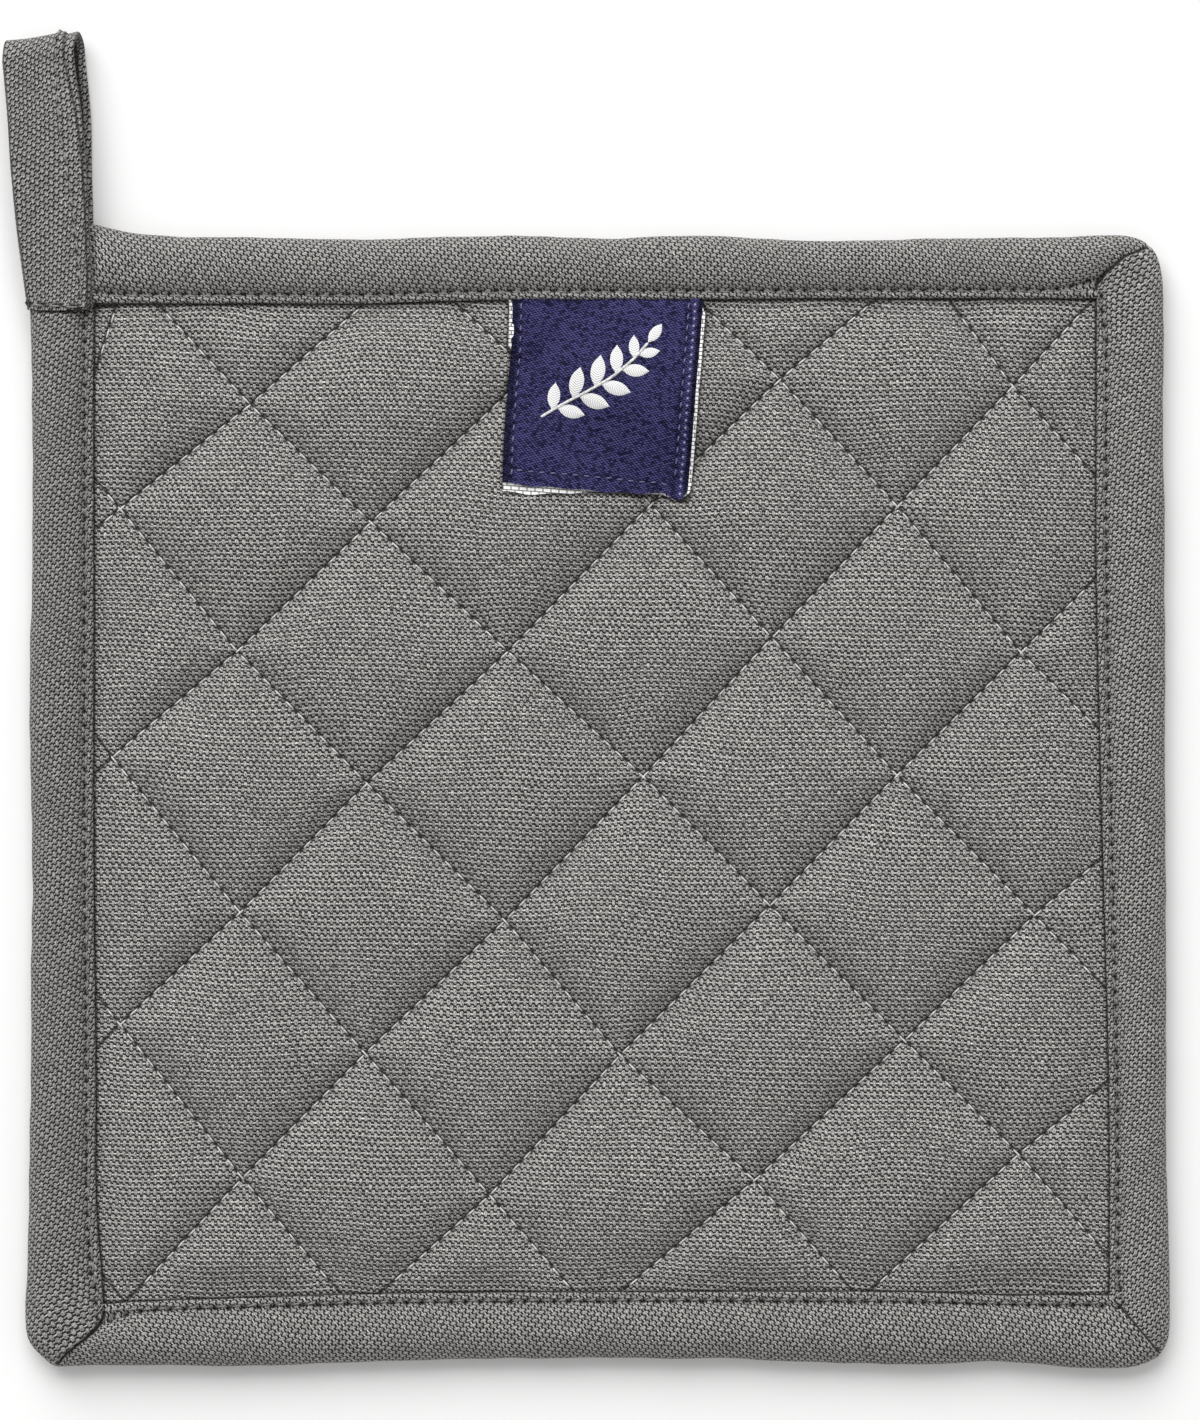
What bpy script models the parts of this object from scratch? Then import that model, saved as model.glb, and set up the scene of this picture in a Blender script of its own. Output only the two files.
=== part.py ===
"""Quilted cotton pot holder, lying flat on its back with its hanging loop at the top left.

Four pieces: the quilted pad, the bias tape folded round its edges, the hanging loop folded
from the same tape, and a small woven label.  +X is to the right, +Y is towards the edge that
carries the loop and +Z is up.  The origin is on the table, under the middle of the whole
footprint.  Sizes are in millimetres, and each finished mesh is brought to metres.
"""

import math

import bmesh
import bpy
from mathutils import Matrix, Vector
from mathutils.geometry import intersect_point_line

MM = 0.001

# Places are measured from the middle of the pad, which lies here in the part's own frame.
PAD_MIDDLE = (2.1, -17.9)

# Air left between two pieces that touch.
GAP = 0.3

# Points nearer than this are one point, and edges of the trimmed pad shorter than this close up.
SAME_PLACE = 0.01
SHORTEST_EDGE = 0.15
# Edges that turn more sharply than this are shaded as edges.
SHARP_EDGE = math.radians(60.0)

# Pad: heights above the table.
PAD_CROWN = 8.0
PAD_SEWN = 4.0
BACK_SEWN = 1.5
# How full a diamond stands beside its seams, how soon its back lies flat on the table,
# and how far from the tape the pad reaches its full height.
FULLNESS = 2.2
BACK_FLATNESS = 2.2
EDGE_SLOPE = 10.0
# Where each diamond is cut along its sides, from one seam to the next.
DIAMOND_STEPS = (0.0, 0.07, 0.25, 0.5, 0.75, 0.93, 1.0)

# Quilting: the number of the line that rises to the right, the number of the line that falls
# to the right, and the place where the two cross.
CROSSINGS = (
    # rising, falling, x, y
    (0, 3, -93.0, 61.5),
    (0, 4, -83.0, 93.1),
    (1, 2, -106.2, 33.2),
    (1, 3, -84.2, 51.3),
    (1, 4, -61.3, 69.6),
    (1, 5, -33.0, 94.6),
    (2, 1, -106.2, -12.7),
    (2, 2, -85.6, 7.6),
    (2, 3, -63.6, 26.2),
    (2, 4, -40.1, 48.9),
    (2, 5, -12.1, 75.2),
    (2, 6, 9.0, 95.8),
    (3, 0, -105.8, -61.5),
    (3, 1, -84.2, -39.4),
    (3, 2, -63.1, -19.7),
    (3, 3, -40.8, 3.0),
    (3, 4, -16.0, 26.2),
    (3, 5, 9.1, 52.0),
    (3, 6, 31.8, 74.0),
    (3, 7, 56.6, 94.7),
    (4, 0, -83.3, -88.4),
    (4, 1, -62.7, -66.4),
    (4, 2, -41.1, -44.5),
    (4, 3, -16.5, -21.1),
    (4, 4, 7.8, 4.2),
    (4, 5, 30.4, 28.6),
    (4, 6, 52.5, 51.7),
    (4, 7, 72.8, 72.8),
    (4, 8, 91.7, 93.1),
    (5, 1, -42.5, -90.3),
    (5, 2, -19.2, -69.4),
    (5, 3, 3.7, -44.8),
    (5, 4, 30.1, -18.5),
    (5, 5, 52.4, 4.4),
    (5, 6, 74.2, 26.0),
    (5, 7, 96.0, 47.5),
    (6, 2, -0.9, -90.5),
    (6, 3, 27.4, -66.8),
    (6, 4, 53.7, -42.2),
    (6, 5, 76.6, -20.2),
    (6, 6, 100.5, 0.0),
    (7, 3, 46.0, -87.9),
    (7, 4, 73.8, -62.2),
    (7, 5, 98.2, -42.5),
    (8, 4, 95.1, -86.5),
)
# The usual step from one line to the next, for the crossings beyond the pad's edges.
NEXT_RISING = Vector((22.5, -22.0))
NEXT_FALLING = Vector((23.2, 22.7))
LINE_NUMBERS = range(-1, 10)

# The quilted part of the pad ends on these lines, just inside the tape.
PAD_SIDES = (
    # one end, other end, outward direction
    ((-88.4, 88.0), (-86.6, -90.0), (-1.0, 0.0)),
    ((-90.0, 86.8), (90.0, 87.7), (0.0, 1.0)),
    ((86.7, 88.0), (88.9, -88.0), (1.0, 0.0)),
    ((-90.0, -86.6), (90.0, -86.1), (0.0, -1.0)),
)
# The pad's pressed edge inside the tape: how far across the tape it reaches, and its heights.
PAD_EDGE_REACH = 0.8
PAD_EDGE_TOP = 3.9
PAD_EDGE_BACK = 2.0
# Growing the edge by this much first sends the pad's corners out along the tape's mitres.
CORNER_REACH = 1.02

# Tape: the highest point of its rounded face, and how thick the folded cloth is.
TAPE_CROWN = 7.0
TAPE_THICK = 1.1
MITRE_CROWN = 6.2
# Under the hanging loop the corner is pressed down.
LOOP_SEAT = 5.4
# One section of the tape, from its inner edge (0) to its outer edge (1).
TAPE_OUTSIDE = (
    # across, height
    (0.0, 4.7),
    (0.02, 5.3),
    (0.1, 5.4),
    (0.15, 5.05),
    (0.22, 5.5),
    (0.38, 6.6),
    (0.58, TAPE_CROWN),
    (0.78, 6.5),
    (0.92, 5.2),
    (1.0, 3.4),
    (0.95, 1.4),
    (0.85, 0.35),
    (0.74, 0.0),
    (0.08, 0.0),
    (0.0, 0.3),
)
TAPE_INSIDE = (
    (0.0, 1.2),
    (0.7, 1.2),
    (0.84, 2.0),
    (0.885, 3.3),
    (0.82, 4.6),
    (0.62, 5.7),
    (0.4, 5.3),
    (0.2, 4.3),
    (0.0, 4.3),
)
# The tape's four sides, clockwise from the loop, and the fan of its mitre at each corner.
TOP_SIDE = (
    # along (x), outer edge (y), inner edge (y)
    (-88.0, 101.1, 87.3),
    (-86.0, 100.6, 87.3),
    (-80.7, 99.6, 87.3),
    (-56.0, 98.8, 87.3),
    (-40.0, 98.6, 87.3),
    (-28.0, 98.9, 87.7),
    (-13.0, 99.3, 88.0),
    (2.0, 98.8, 88.0),
    (18.0, 99.1, 88.0),
    (39.0, 98.4, 88.2),
    (60.0, 98.8, 88.2),
    (82.0, 99.1, 88.2),
)
RIGHT_SIDE = (
    # along (y), outer edge (x), inner edge (x)
    (83.0, 99.4, 87.5),
    (60.0, 99.4, 87.5),
    (42.0, 99.7, 87.5),
    (20.0, 99.6, 87.9),
    (-12.0, 99.8, 88.7),
    (-40.0, 99.7, 89.5),
    (-60.0, 99.9, 89.8),
    (-82.0, 100.4, 89.8),
)
BOTTOM_SIDE = (
    # along (x), outer edge (y), inner edge (y)
    (85.0, -100.0, -87.1),
    (70.0, -98.9, -87.1),
    (57.0, -99.4, -86.6),
    (32.0, -98.7, -86.5),
    (20.0, -98.3, -86.5),
    (-10.0, -98.3, -86.6),
    (-29.0, -98.6, -86.7),
    (-47.0, -99.1, -87.1),
    (-60.0, -99.7, -87.5),
    (-80.0, -99.5, -88.2),
)
LEFT_SIDE = (
    # along (y), outer edge (x), inner edge (x)
    (-84.0, -100.7, -87.4),
    (-72.0, -100.2, -88.4),
    (-50.0, -100.1, -88.5),
    (-20.0, -99.9, -88.8),
    (10.0, -100.1, -88.9),
    (36.0, -100.0, -88.9),
    (60.0, -99.6, -88.9),
    (85.1, -100.0, -88.9),
)
# How far the inner edge turns before and after the mitre, at the five stations of a fan.
FAN_TURN = (-1.2, -0.4, 0.0, 0.4, 1.2)
TOP_RIGHT_FAN = (
    # outer edge (x, y), crown height
    (92.0, 99.3, TAPE_CROWN),
    (95.6, 98.4, TAPE_CROWN),
    (96.9, 97.4, MITRE_CROWN),
    (98.0, 95.9, TAPE_CROWN),
    (98.9, 92.4, TAPE_CROWN),
)
BOTTOM_RIGHT_FAN = (
    (100.4, -93.0, TAPE_CROWN),
    (99.6, -96.2, TAPE_CROWN),
    (98.7, -97.6, MITRE_CROWN),
    (97.2, -98.6, TAPE_CROWN),
    (93.6, -99.8, TAPE_CROWN),
)
BOTTOM_LEFT_FAN = (
    (-92.5, -99.5, TAPE_CROWN),
    (-94.8, -99.7, TAPE_CROWN),
    (-95.7, -99.6, MITRE_CROWN),
    (-97.6, -98.3, TAPE_CROWN),
    (-100.6, -94.8, TAPE_CROWN),
)
# The corner that the hanging loop is sewn over, from the left side round to the top.
LOOP_CORNER = (
    # inner edge (x, y), outer edge (x, y)
    (-88.9, 85.8, -100.0, 85.8),
    (-88.9, 86.4, -100.1, 91.5),
    (-88.9, 86.9, -99.4, 96.2),
    (-88.9, 87.3, -98.2, 98.0),
    (-88.8, 87.3, -96.0, 99.5),
    (-88.7, 87.3, -92.0, 100.6),
    (-88.6, 87.3, -88.6, 101.2),
)

# Hanging loop: a strip whose front layer lies over the corner, turns over a soft fold and
# comes back under itself to the tape's outer edge.
LOOP_THICK = 1.6
LOOP_EDGE_ROUND = 0.4
LOOP_FOLD_RADIUS = 3.15
LOOP_FOLD_STEPS = 7
LOOP_FRONT = (
    # left edge (x, y), right edge (x, y), height of the strip's middle
    (-100.4, 86.1, -89.2, 86.1, 6.5),
    (-101.1, 91.4, -89.2, 91.4, 6.5),
    (-101.9, 98.0, -89.4, 98.4, 6.55),
    (-102.6, 104.0, -89.6, 104.8, 6.8),
    (-103.3, 111.0, -89.8, 112.2, 7.05),
    (-103.8, 119.0, -90.1, 120.7, 7.15),
    (-104.4, 126.5, -90.9, 128.6, 7.15),
    (-104.7, 129.6, -91.5, 132.1, 7.1),
)
LOOP_BACK = (
    (-104.1, 126.5, -90.6, 129.6, 0.85),
    (-103.3, 118.5, -89.9, 120.7, 0.8),
    (-102.8, 110.0, -89.4, 111.4, 0.8),
    (-102.2, 104.0, -89.2, 104.8, 0.8),
    (-101.7, 101.3, -89.2, 101.6, 0.8),
)

# Woven label: its corners, how thick it is, and how far it bridges the quilting under it.
LABEL_THICK = 1.0
LABEL_TOP_LEFT = Vector((-15.5, 87.5))
LABEL_TOP_RIGHT = Vector((18.4, 87.5))
LABEL_BOTTOM_LEFT = Vector((-16.9, 55.5))
LABEL_BOTTOM_RIGHT = Vector((15.6, 52.8))
LABEL_CELLS = 8
LABEL_BRIDGE = 5.0
LABEL_PROBES = 8

# Colours, as linear red, green and blue.
GREY_CLOTH = (0.20, 0.195, 0.19)
GREY_TAPE = (0.18, 0.175, 0.17)
NAVY_WEAVE = (0.035, 0.034, 0.095)


def clear_scene():
    for obj in list(bpy.data.objects):
        bpy.data.objects.remove(obj, do_unlink=True)


def cloth_material(name, colour, roughness):
    material = bpy.data.materials.new(name)
    material.use_nodes = True
    shader = material.node_tree.nodes["Principled BSDF"]
    shader.inputs["Base Color"].default_value = (*colour, 1.0)
    shader.inputs["Roughness"].default_value = roughness
    shader.inputs["Metallic"].default_value = 0.0
    return material


def finish_piece(name, work, material, holder):
    """Turn a bmesh drawn in millimetres into one named, shaded object of the pot holder."""
    bmesh.ops.recalc_face_normals(work, faces=work.faces)
    bmesh.ops.triangulate(work, faces=work.faces)
    bmesh.ops.transform(work, matrix=Matrix.Scale(MM, 4), verts=work.verts)
    mesh = bpy.data.meshes.new(name)
    work.to_mesh(mesh)
    work.free()
    mesh.materials.append(material)
    mesh.shade_smooth()
    mesh.set_sharp_from_angle(angle=SHARP_EDGE)
    piece = bpy.data.objects.new(name, mesh)
    piece.parent = holder
    bpy.context.scene.collection.objects.link(piece)
    return piece


# ---------------------------------------------------------------- the tape's course


def side_stations(rows, along_x):
    """Inner point, outer point and crown height for each row of one side of the tape."""
    stations = []
    for along, outer, inner in rows:
        if along_x:
            stations.append((Vector((along, inner)), Vector((along, outer)), TAPE_CROWN))
        else:
            stations.append((Vector((inner, along)), Vector((outer, along)), TAPE_CROWN))
    return stations


def fan_stations(fan, corner, arriving, leaving):
    """The stations round one corner: the inner edge turns there from one side to the next."""
    stations = []
    for turn, (x, y, crown) in zip(FAN_TURN, fan):
        direction = arriving if turn < 0.0 else leaving
        stations.append((corner + direction * turn, Vector((x, y)), crown))
    return stations


def tape_stations():
    """Every station of the tape, once round the pad, clockwise from the loop."""
    right, down, left, up = Vector((1, 0)), Vector((0, -1)), Vector((-1, 0)), Vector((0, 1))
    stations = side_stations(TOP_SIDE, True)
    stations += fan_stations(TOP_RIGHT_FAN, Vector((87.5, 88.2)), right, down)
    stations += side_stations(RIGHT_SIDE, False)
    stations += fan_stations(BOTTOM_RIGHT_FAN, Vector((89.8, -87.1)), down, left)
    stations += side_stations(BOTTOM_SIDE, True)
    stations += fan_stations(BOTTOM_LEFT_FAN, Vector((-87.2, -88.6)), left, up)
    stations += side_stations(LEFT_SIDE, False)
    for row in LOOP_CORNER:
        stations.append((Vector(row[:2]), Vector(row[2:]), LOOP_SEAT))
    return stations


STATIONS = tape_stations()


def nearest_section(point):
    """The tape's section beside a point: the ends of its inner and outer edges there."""
    best = None
    for here, following in zip(STATIONS, STATIONS[1:] + STATIONS[:1]):
        _, share = intersect_point_line(point, here[0], following[0])
        share = min(max(share, 0.0), 1.0)
        foot = here[0].lerp(following[0], share)
        distance = (point - foot).length
        if best is None or distance < best[0]:
            best = (distance, foot, here[1].lerp(following[1], share))
    return best[1:]


# ---------------------------------------------------------------- the quilting


def crossing(rising, falling):
    """Where two sewn lines cross, carried on by the usual steps beyond the pad's edges."""
    def steps_away(row):
        return abs(row[0] - rising) + abs(row[1] - falling)

    row = min(CROSSINGS, key=steps_away)
    place = Vector(row[2:])
    return place + NEXT_RISING * (rising - row[0]) + NEXT_FALLING * (falling - row[1])


def sewn_lines():
    """The rising lines and the falling lines, each as the list of its crossings."""
    rising = [[crossing(r, f) for f in LINE_NUMBERS] for r in LINE_NUMBERS]
    falling = [[crossing(r, f) for r in LINE_NUMBERS] for f in LINE_NUMBERS]
    return rising, falling


RISING_LINES, FALLING_LINES = sewn_lines()


def distance_to_line(point, line):
    shortest = math.inf
    for start, end in zip(line, line[1:]):
        _, share = intersect_point_line(point, start, end)
        foot = start.lerp(end, min(max(share, 0.0), 1.0))
        shortest = min(shortest, (point - foot).length)
    return shortest


def swell(share):
    """Height across one diamond: 0 on either seam, 1 half way between them."""
    return 1.0 - abs(1.0 - 2.0 * share) ** FULLNESS


def swell_between(point, lines):
    nearest, second = sorted(distance_to_line(point, line) for line in lines)[:2]
    return swell(nearest / (nearest + second))


def outward_normal(start, end, outward):
    """Square to the line from start to end, on the side that outward points to."""
    along = Vector(end) - Vector(start)
    normal = Vector((along.y, -along.x)).normalized()
    return normal if normal.dot(Vector(outward)) > 0.0 else -normal


def distance_inside(point):
    """Distance from the edge of the quilted part, inwards."""
    shortest = math.inf
    for start, end, outward in PAD_SIDES:
        normal = outward_normal(start, end, outward)
        shortest = min(shortest, (Vector(start) - point).dot(normal))
    return max(shortest, 0.0)


def pad_heights(point):
    """Top and back height of the quilted part at one place in plan."""
    slope = min(distance_inside(point) / EDGE_SLOPE, 1.0)
    edge = 1.0 - (1.0 - slope) ** 2
    full = swell_between(point, RISING_LINES) * swell_between(point, FALLING_LINES) * edge
    top = PAD_SEWN + (PAD_CROWN - PAD_SEWN) * full
    back = BACK_SEWN * max(0.0, 1.0 - BACK_FLATNESS * full)
    return top, back


def diamond_net():
    """All the diamonds laid out flat, each cut finer beside its seams."""
    work = bmesh.new()
    for r in LINE_NUMBERS[:-1]:
        for f in LINE_NUMBERS[:-1]:
            near, far = crossing(r, f), crossing(r + 1, f)
            near_up, far_up = crossing(r, f + 1), crossing(r + 1, f + 1)
            rows = []
            for step in DIAMOND_STEPS:
                start = near.lerp(far, step)
                end = near_up.lerp(far_up, step)
                places = [start.lerp(end, share) for share in DIAMOND_STEPS]
                rows.append([work.verts.new((*place, 0.0)) for place in places])
            for lower, upper in zip(rows, rows[1:]):
                for k in range(len(lower) - 1):
                    work.faces.new((lower[k], upper[k], upper[k + 1], lower[k + 1]))
    bmesh.ops.remove_doubles(work, verts=work.verts, dist=SAME_PLACE)
    return work


def trim_to_pad(work):
    """Cut the net off along the four sides of the quilted part."""
    for start, end, outward in PAD_SIDES:
        normal = outward_normal(start, end, outward)
        bmesh.ops.bisect_plane(
            work,
            geom=work.verts[:] + work.edges[:] + work.faces[:],
            dist=SAME_PLACE,
            plane_co=(*start, 0.0),
            plane_no=(*normal, 0.0),
            clear_outer=True,
        )
    bmesh.ops.remove_doubles(work, verts=work.verts, dist=SHORTEST_EDGE)


def grow_hidden_edge(work):
    """Carry the pad's edge outwards under the tape, and give back the places it reaches."""
    rim = [edge for edge in work.edges if edge.is_boundary]
    grown = bmesh.ops.extrude_edge_only(work, edges=rim)["geom"]
    reached = set()
    for vert in grown:
        if isinstance(vert, bmesh.types.BMVert):
            inner, outer = nearest_section(vert.co.to_2d() * CORNER_REACH)
            vert.co = (*inner.lerp(outer, PAD_EDGE_REACH), 0.0)
            reached.add(plan_key(vert))
    return reached


def plan_key(vert):
    return round(vert.co.x, 3), round(vert.co.y, 3)


def quilted_pad(holder):
    work = diamond_net()
    trim_to_pad(work)
    hidden_edge = grow_hidden_edge(work)
    back_verts = work.verts[:]
    grown = bmesh.ops.extrude_face_region(work, geom=work.faces[:])["geom"]
    top_verts = [vert for vert in grown if isinstance(vert, bmesh.types.BMVert)]
    for vert in top_verts:
        hidden = plan_key(vert) in hidden_edge
        vert.co.z = PAD_EDGE_TOP if hidden else pad_heights(vert.co.to_2d())[0]
    for vert in back_verts:
        hidden = plan_key(vert) in hidden_edge
        vert.co.z = PAD_EDGE_BACK if hidden else pad_heights(vert.co.to_2d())[1]
    material = cloth_material("grey_quilted_cotton", GREY_CLOTH, 0.9)
    return finish_piece("quilted_pad", work, material, holder)


# ---------------------------------------------------------------- the tape and the loop


def sweep(work, sections, closed):
    """Skin over a row of closed sections, joined end to end or capped at both ends."""
    rings = [[work.verts.new(place) for place in section] for section in sections]
    pairs = list(zip(rings, rings[1:]))
    if closed:
        pairs.append((rings[-1], rings[0]))
    for ring, following in pairs:
        for k, vert in enumerate(ring):
            after = (k + 1) % len(ring)
            work.faces.new((vert, following[k], following[after], ring[after]))
    if not closed:
        work.faces.new(rings[0])
        work.faces.new(reversed(rings[-1]))


def tape_section(inner, outer, crown):
    """One section round the pad's edge: the outside of the fold, then the inside."""
    places = []
    for across, height in TAPE_OUTSIDE:
        places.append((*inner.lerp(outer, across), min(height, crown)))
    for across, height in TAPE_INSIDE:
        places.append((*inner.lerp(outer, across), min(height, crown - TAPE_THICK)))
    return places


def binding(holder):
    work = bmesh.new()
    sweep(work, [tape_section(*station) for station in STATIONS], closed=True)
    material = cloth_material("grey_bias_tape", GREY_TAPE, 0.9)
    return finish_piece("binding", work, material, holder)


def fold_rows():
    """The soft turn at the loop's far end, from the front layer round to the back layer."""
    left_x, left_y, right_x, right_y, front_height = LOOP_FRONT[-1]
    middle_height = front_height - LOOP_FOLD_RADIUS
    rows = []
    for step in range(1, LOOP_FOLD_STEPS):
        angle = math.pi * step / LOOP_FOLD_STEPS
        reach = LOOP_FOLD_RADIUS * math.sin(angle)
        height = middle_height + LOOP_FOLD_RADIUS * math.cos(angle)
        rows.append((left_x, left_y + reach, right_x, right_y + reach, height))
    return rows


def strip_section(before, row, after):
    """One rounded section of the strip, square to its run."""
    left = Vector((row[0], row[1], row[4]))
    right = Vector((row[2], row[3], row[4]))
    ahead = Vector((after[0] + after[2], after[1] + after[3], 2.0 * after[4]))
    behind = Vector((before[0] + before[2], before[1] + before[3], 2.0 * before[4]))
    across = (right - left).normalized()
    normal = across.cross(ahead - behind).normalized() * (LOOP_THICK / 2.0)
    inset = across * LOOP_EDGE_ROUND
    return [
        left,
        left + inset + normal,
        right - inset + normal,
        right,
        right - inset - normal,
        left + inset - normal,
    ]


def hanging_loop(holder):
    rows = [*LOOP_FRONT, *fold_rows(), *LOOP_BACK]
    sections = []
    for k, row in enumerate(rows):
        before = rows[max(k - 1, 0)]
        after = rows[min(k + 1, len(rows) - 1)]
        sections.append(strip_section(before, row, after))
    work = bmesh.new()
    sweep(work, sections, closed=False)
    material = cloth_material("grey_loop_tape", GREY_TAPE, 0.9)
    return finish_piece("hanging_loop", work, material, holder)


# ---------------------------------------------------------------- the label


def label_underside(point):
    """The label bridges the seams below it, so it lies on the highest cloth close by."""
    heights = [pad_heights(point)[0]]
    for k in range(LABEL_PROBES):
        angle = 2.0 * math.pi * k / LABEL_PROBES
        probe = point + Vector((math.cos(angle), math.sin(angle))) * LABEL_BRIDGE
        heights.append(pad_heights(probe)[0])
    return max(heights) + GAP


def woven_label(holder):
    work = bmesh.new()
    rows = []
    for row in range(LABEL_CELLS + 1):
        down = row / LABEL_CELLS
        left = LABEL_TOP_LEFT.lerp(LABEL_BOTTOM_LEFT, down)
        right = LABEL_TOP_RIGHT.lerp(LABEL_BOTTOM_RIGHT, down)
        places = [left.lerp(right, k / LABEL_CELLS) for k in range(LABEL_CELLS + 1)]
        rows.append([work.verts.new((*place, label_underside(place))) for place in places])
    for upper, lower in zip(rows, rows[1:]):
        for k in range(LABEL_CELLS):
            work.faces.new((upper[k], lower[k], lower[k + 1], upper[k + 1]))
    grown = bmesh.ops.extrude_face_region(work, geom=work.faces[:])["geom"]
    top_verts = [vert for vert in grown if isinstance(vert, bmesh.types.BMVert)]
    bmesh.ops.translate(work, verts=top_verts, vec=(0.0, 0.0, LABEL_THICK))
    material = cloth_material("navy_label_weave", NAVY_WEAVE, 0.6)
    return finish_piece("woven_label", work, material, holder)


def main():
    clear_scene()
    holder = bpy.data.objects.new("pot_holder", None)
    holder.location = (PAD_MIDDLE[0] * MM, PAD_MIDDLE[1] * MM, 0.0)
    bpy.context.scene.collection.objects.link(holder)
    quilted_pad(holder)
    binding(holder)
    hanging_loop(holder)
    woven_label(holder)


main()
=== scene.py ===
"""Dresses the quilted pot holder: cloth, tape, loop, label and every row of sewing.

Everything is worked out in millimetres, from the middle of the pad, and each finished mesh is
then brought to metres in the part's own frame.
"""

import math

import bmesh
import bpy
import numpy as np
from mathutils import Matrix, Vector, noise
from mathutils.bvhtree import BVHTree
from mathutils.kdtree import KDTree


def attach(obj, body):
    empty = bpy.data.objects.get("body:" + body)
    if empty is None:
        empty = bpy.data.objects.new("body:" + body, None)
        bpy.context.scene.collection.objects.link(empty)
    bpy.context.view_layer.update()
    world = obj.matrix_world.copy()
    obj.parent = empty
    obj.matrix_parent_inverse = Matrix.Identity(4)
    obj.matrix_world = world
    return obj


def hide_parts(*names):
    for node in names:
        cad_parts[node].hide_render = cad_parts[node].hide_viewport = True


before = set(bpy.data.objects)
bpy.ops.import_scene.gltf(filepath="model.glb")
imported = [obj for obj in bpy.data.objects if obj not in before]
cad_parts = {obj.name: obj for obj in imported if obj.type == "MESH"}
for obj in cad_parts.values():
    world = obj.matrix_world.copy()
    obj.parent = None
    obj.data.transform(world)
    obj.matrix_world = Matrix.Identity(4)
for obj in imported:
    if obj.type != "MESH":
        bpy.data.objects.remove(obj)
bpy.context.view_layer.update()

MM = 0.001
PAD_MIDDLE = (2.1, -17.9)
PART_FRAME = Matrix.Scale(MM, 4) @ Matrix.Translation((*PAD_MIDDLE, 0.0))

# ---------------------------------------------------------------- sizes, in millimetres

# Quilting: the rising line, the falling line, and the place where the two cross.
CROSSINGS = (
    # rising, falling, x, y
    (0, 3, -93.0, 61.5), (0, 4, -83.0, 93.1), (1, 2, -106.2, 33.2), (1, 3, -84.2, 51.3),
    (1, 4, -61.3, 69.6), (1, 5, -33.0, 94.6), (2, 1, -106.2, -12.7), (2, 2, -85.6, 7.6),
    (2, 3, -63.6, 26.2), (2, 4, -40.1, 48.9), (2, 5, -12.1, 75.2), (2, 6, 9.0, 95.8),
    (3, 0, -105.8, -61.5), (3, 1, -84.2, -39.4), (3, 2, -63.1, -19.7), (3, 3, -40.8, 3.0),
    (3, 4, -16.0, 26.2), (3, 5, 9.1, 52.0), (3, 6, 31.8, 74.0), (3, 7, 56.6, 94.7),
    (4, 0, -83.3, -88.4), (4, 1, -62.7, -66.4), (4, 2, -41.1, -44.5), (4, 3, -16.5, -21.1),
    (4, 4, 7.8, 4.2), (4, 5, 30.4, 28.6), (4, 6, 52.5, 51.7), (4, 7, 72.8, 72.8),
    (4, 8, 91.7, 93.1), (5, 1, -42.5, -90.3), (5, 2, -19.2, -69.4), (5, 3, 3.7, -44.8),
    (5, 4, 30.1, -18.5), (5, 5, 52.4, 4.4), (5, 6, 74.2, 26.0), (5, 7, 96.0, 47.5),
    (6, 2, -0.9, -90.5), (6, 3, 27.4, -66.8), (6, 4, 53.7, -42.2), (6, 5, 76.6, -20.2),
    (6, 6, 100.5, 0.0), (7, 3, 46.0, -87.9), (7, 4, 73.8, -62.2), (7, 5, 98.2, -42.5),
    (8, 4, 95.1, -86.5),
)
# Outside the table, how far it is to the next rising and the next falling line.
NEXT_RISING = np.array((22.5, -22.0))
NEXT_FALLING = np.array((23.2, 22.7))
LINES = range(-1, 10)
DIAMOND_CELLS = 19

# The four sides of the quilted part: a straight line along each, and the way inward.
PAD_SIDES = (
    # one end, other end, inward direction
    ((-88.4, 88.0), (-86.6, -90.0), (1.0, 0.0)),
    ((-90.0, 86.8), (90.0, 87.7), (0.0, -1.0)),
    ((86.7, 88.0), (88.9, -88.0), (-1.0, 0.0)),
    ((-90.0, -86.6), (90.0, -86.1), (0.0, 1.0)),
)
TUCKED_UNDER_TAPE = 3.2
# Stands for a distance too great to matter, in what the materials read and in searches.
FAR = 20.0
ENDLESS = 1e9

# Heights of the pad: the sewn face and back, the extra that the seams sink after the swelling.
FACE_SEWN = 4.0
BACK_SEWN = 1.6
FACE_LIMIT = 9.2
SEAM_SINK = 1.95
SEAM_SINK_REACH = 2.4
BACK_SINK = 0.4
EDGE_RISE = 6.0
SWELL_LIMIT = 3.6
SWELL_PRESSURE = 0.22
SWELL_FRAMES = 20
QUILT_STITCH = 2.83
FALLING_OFFSET = 1.3
NEEDLE_PULL = 0.04
THREAD_LEAN = 0.12
QUILT_THREAD = 0.17
# The small opening at the top left corner, between the face and the tape: place and reach of the wider
# painted shade there.
OPENING = (-86.9, 86.8)
OPENING_REACH = (2.1, 1.1)

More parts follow.
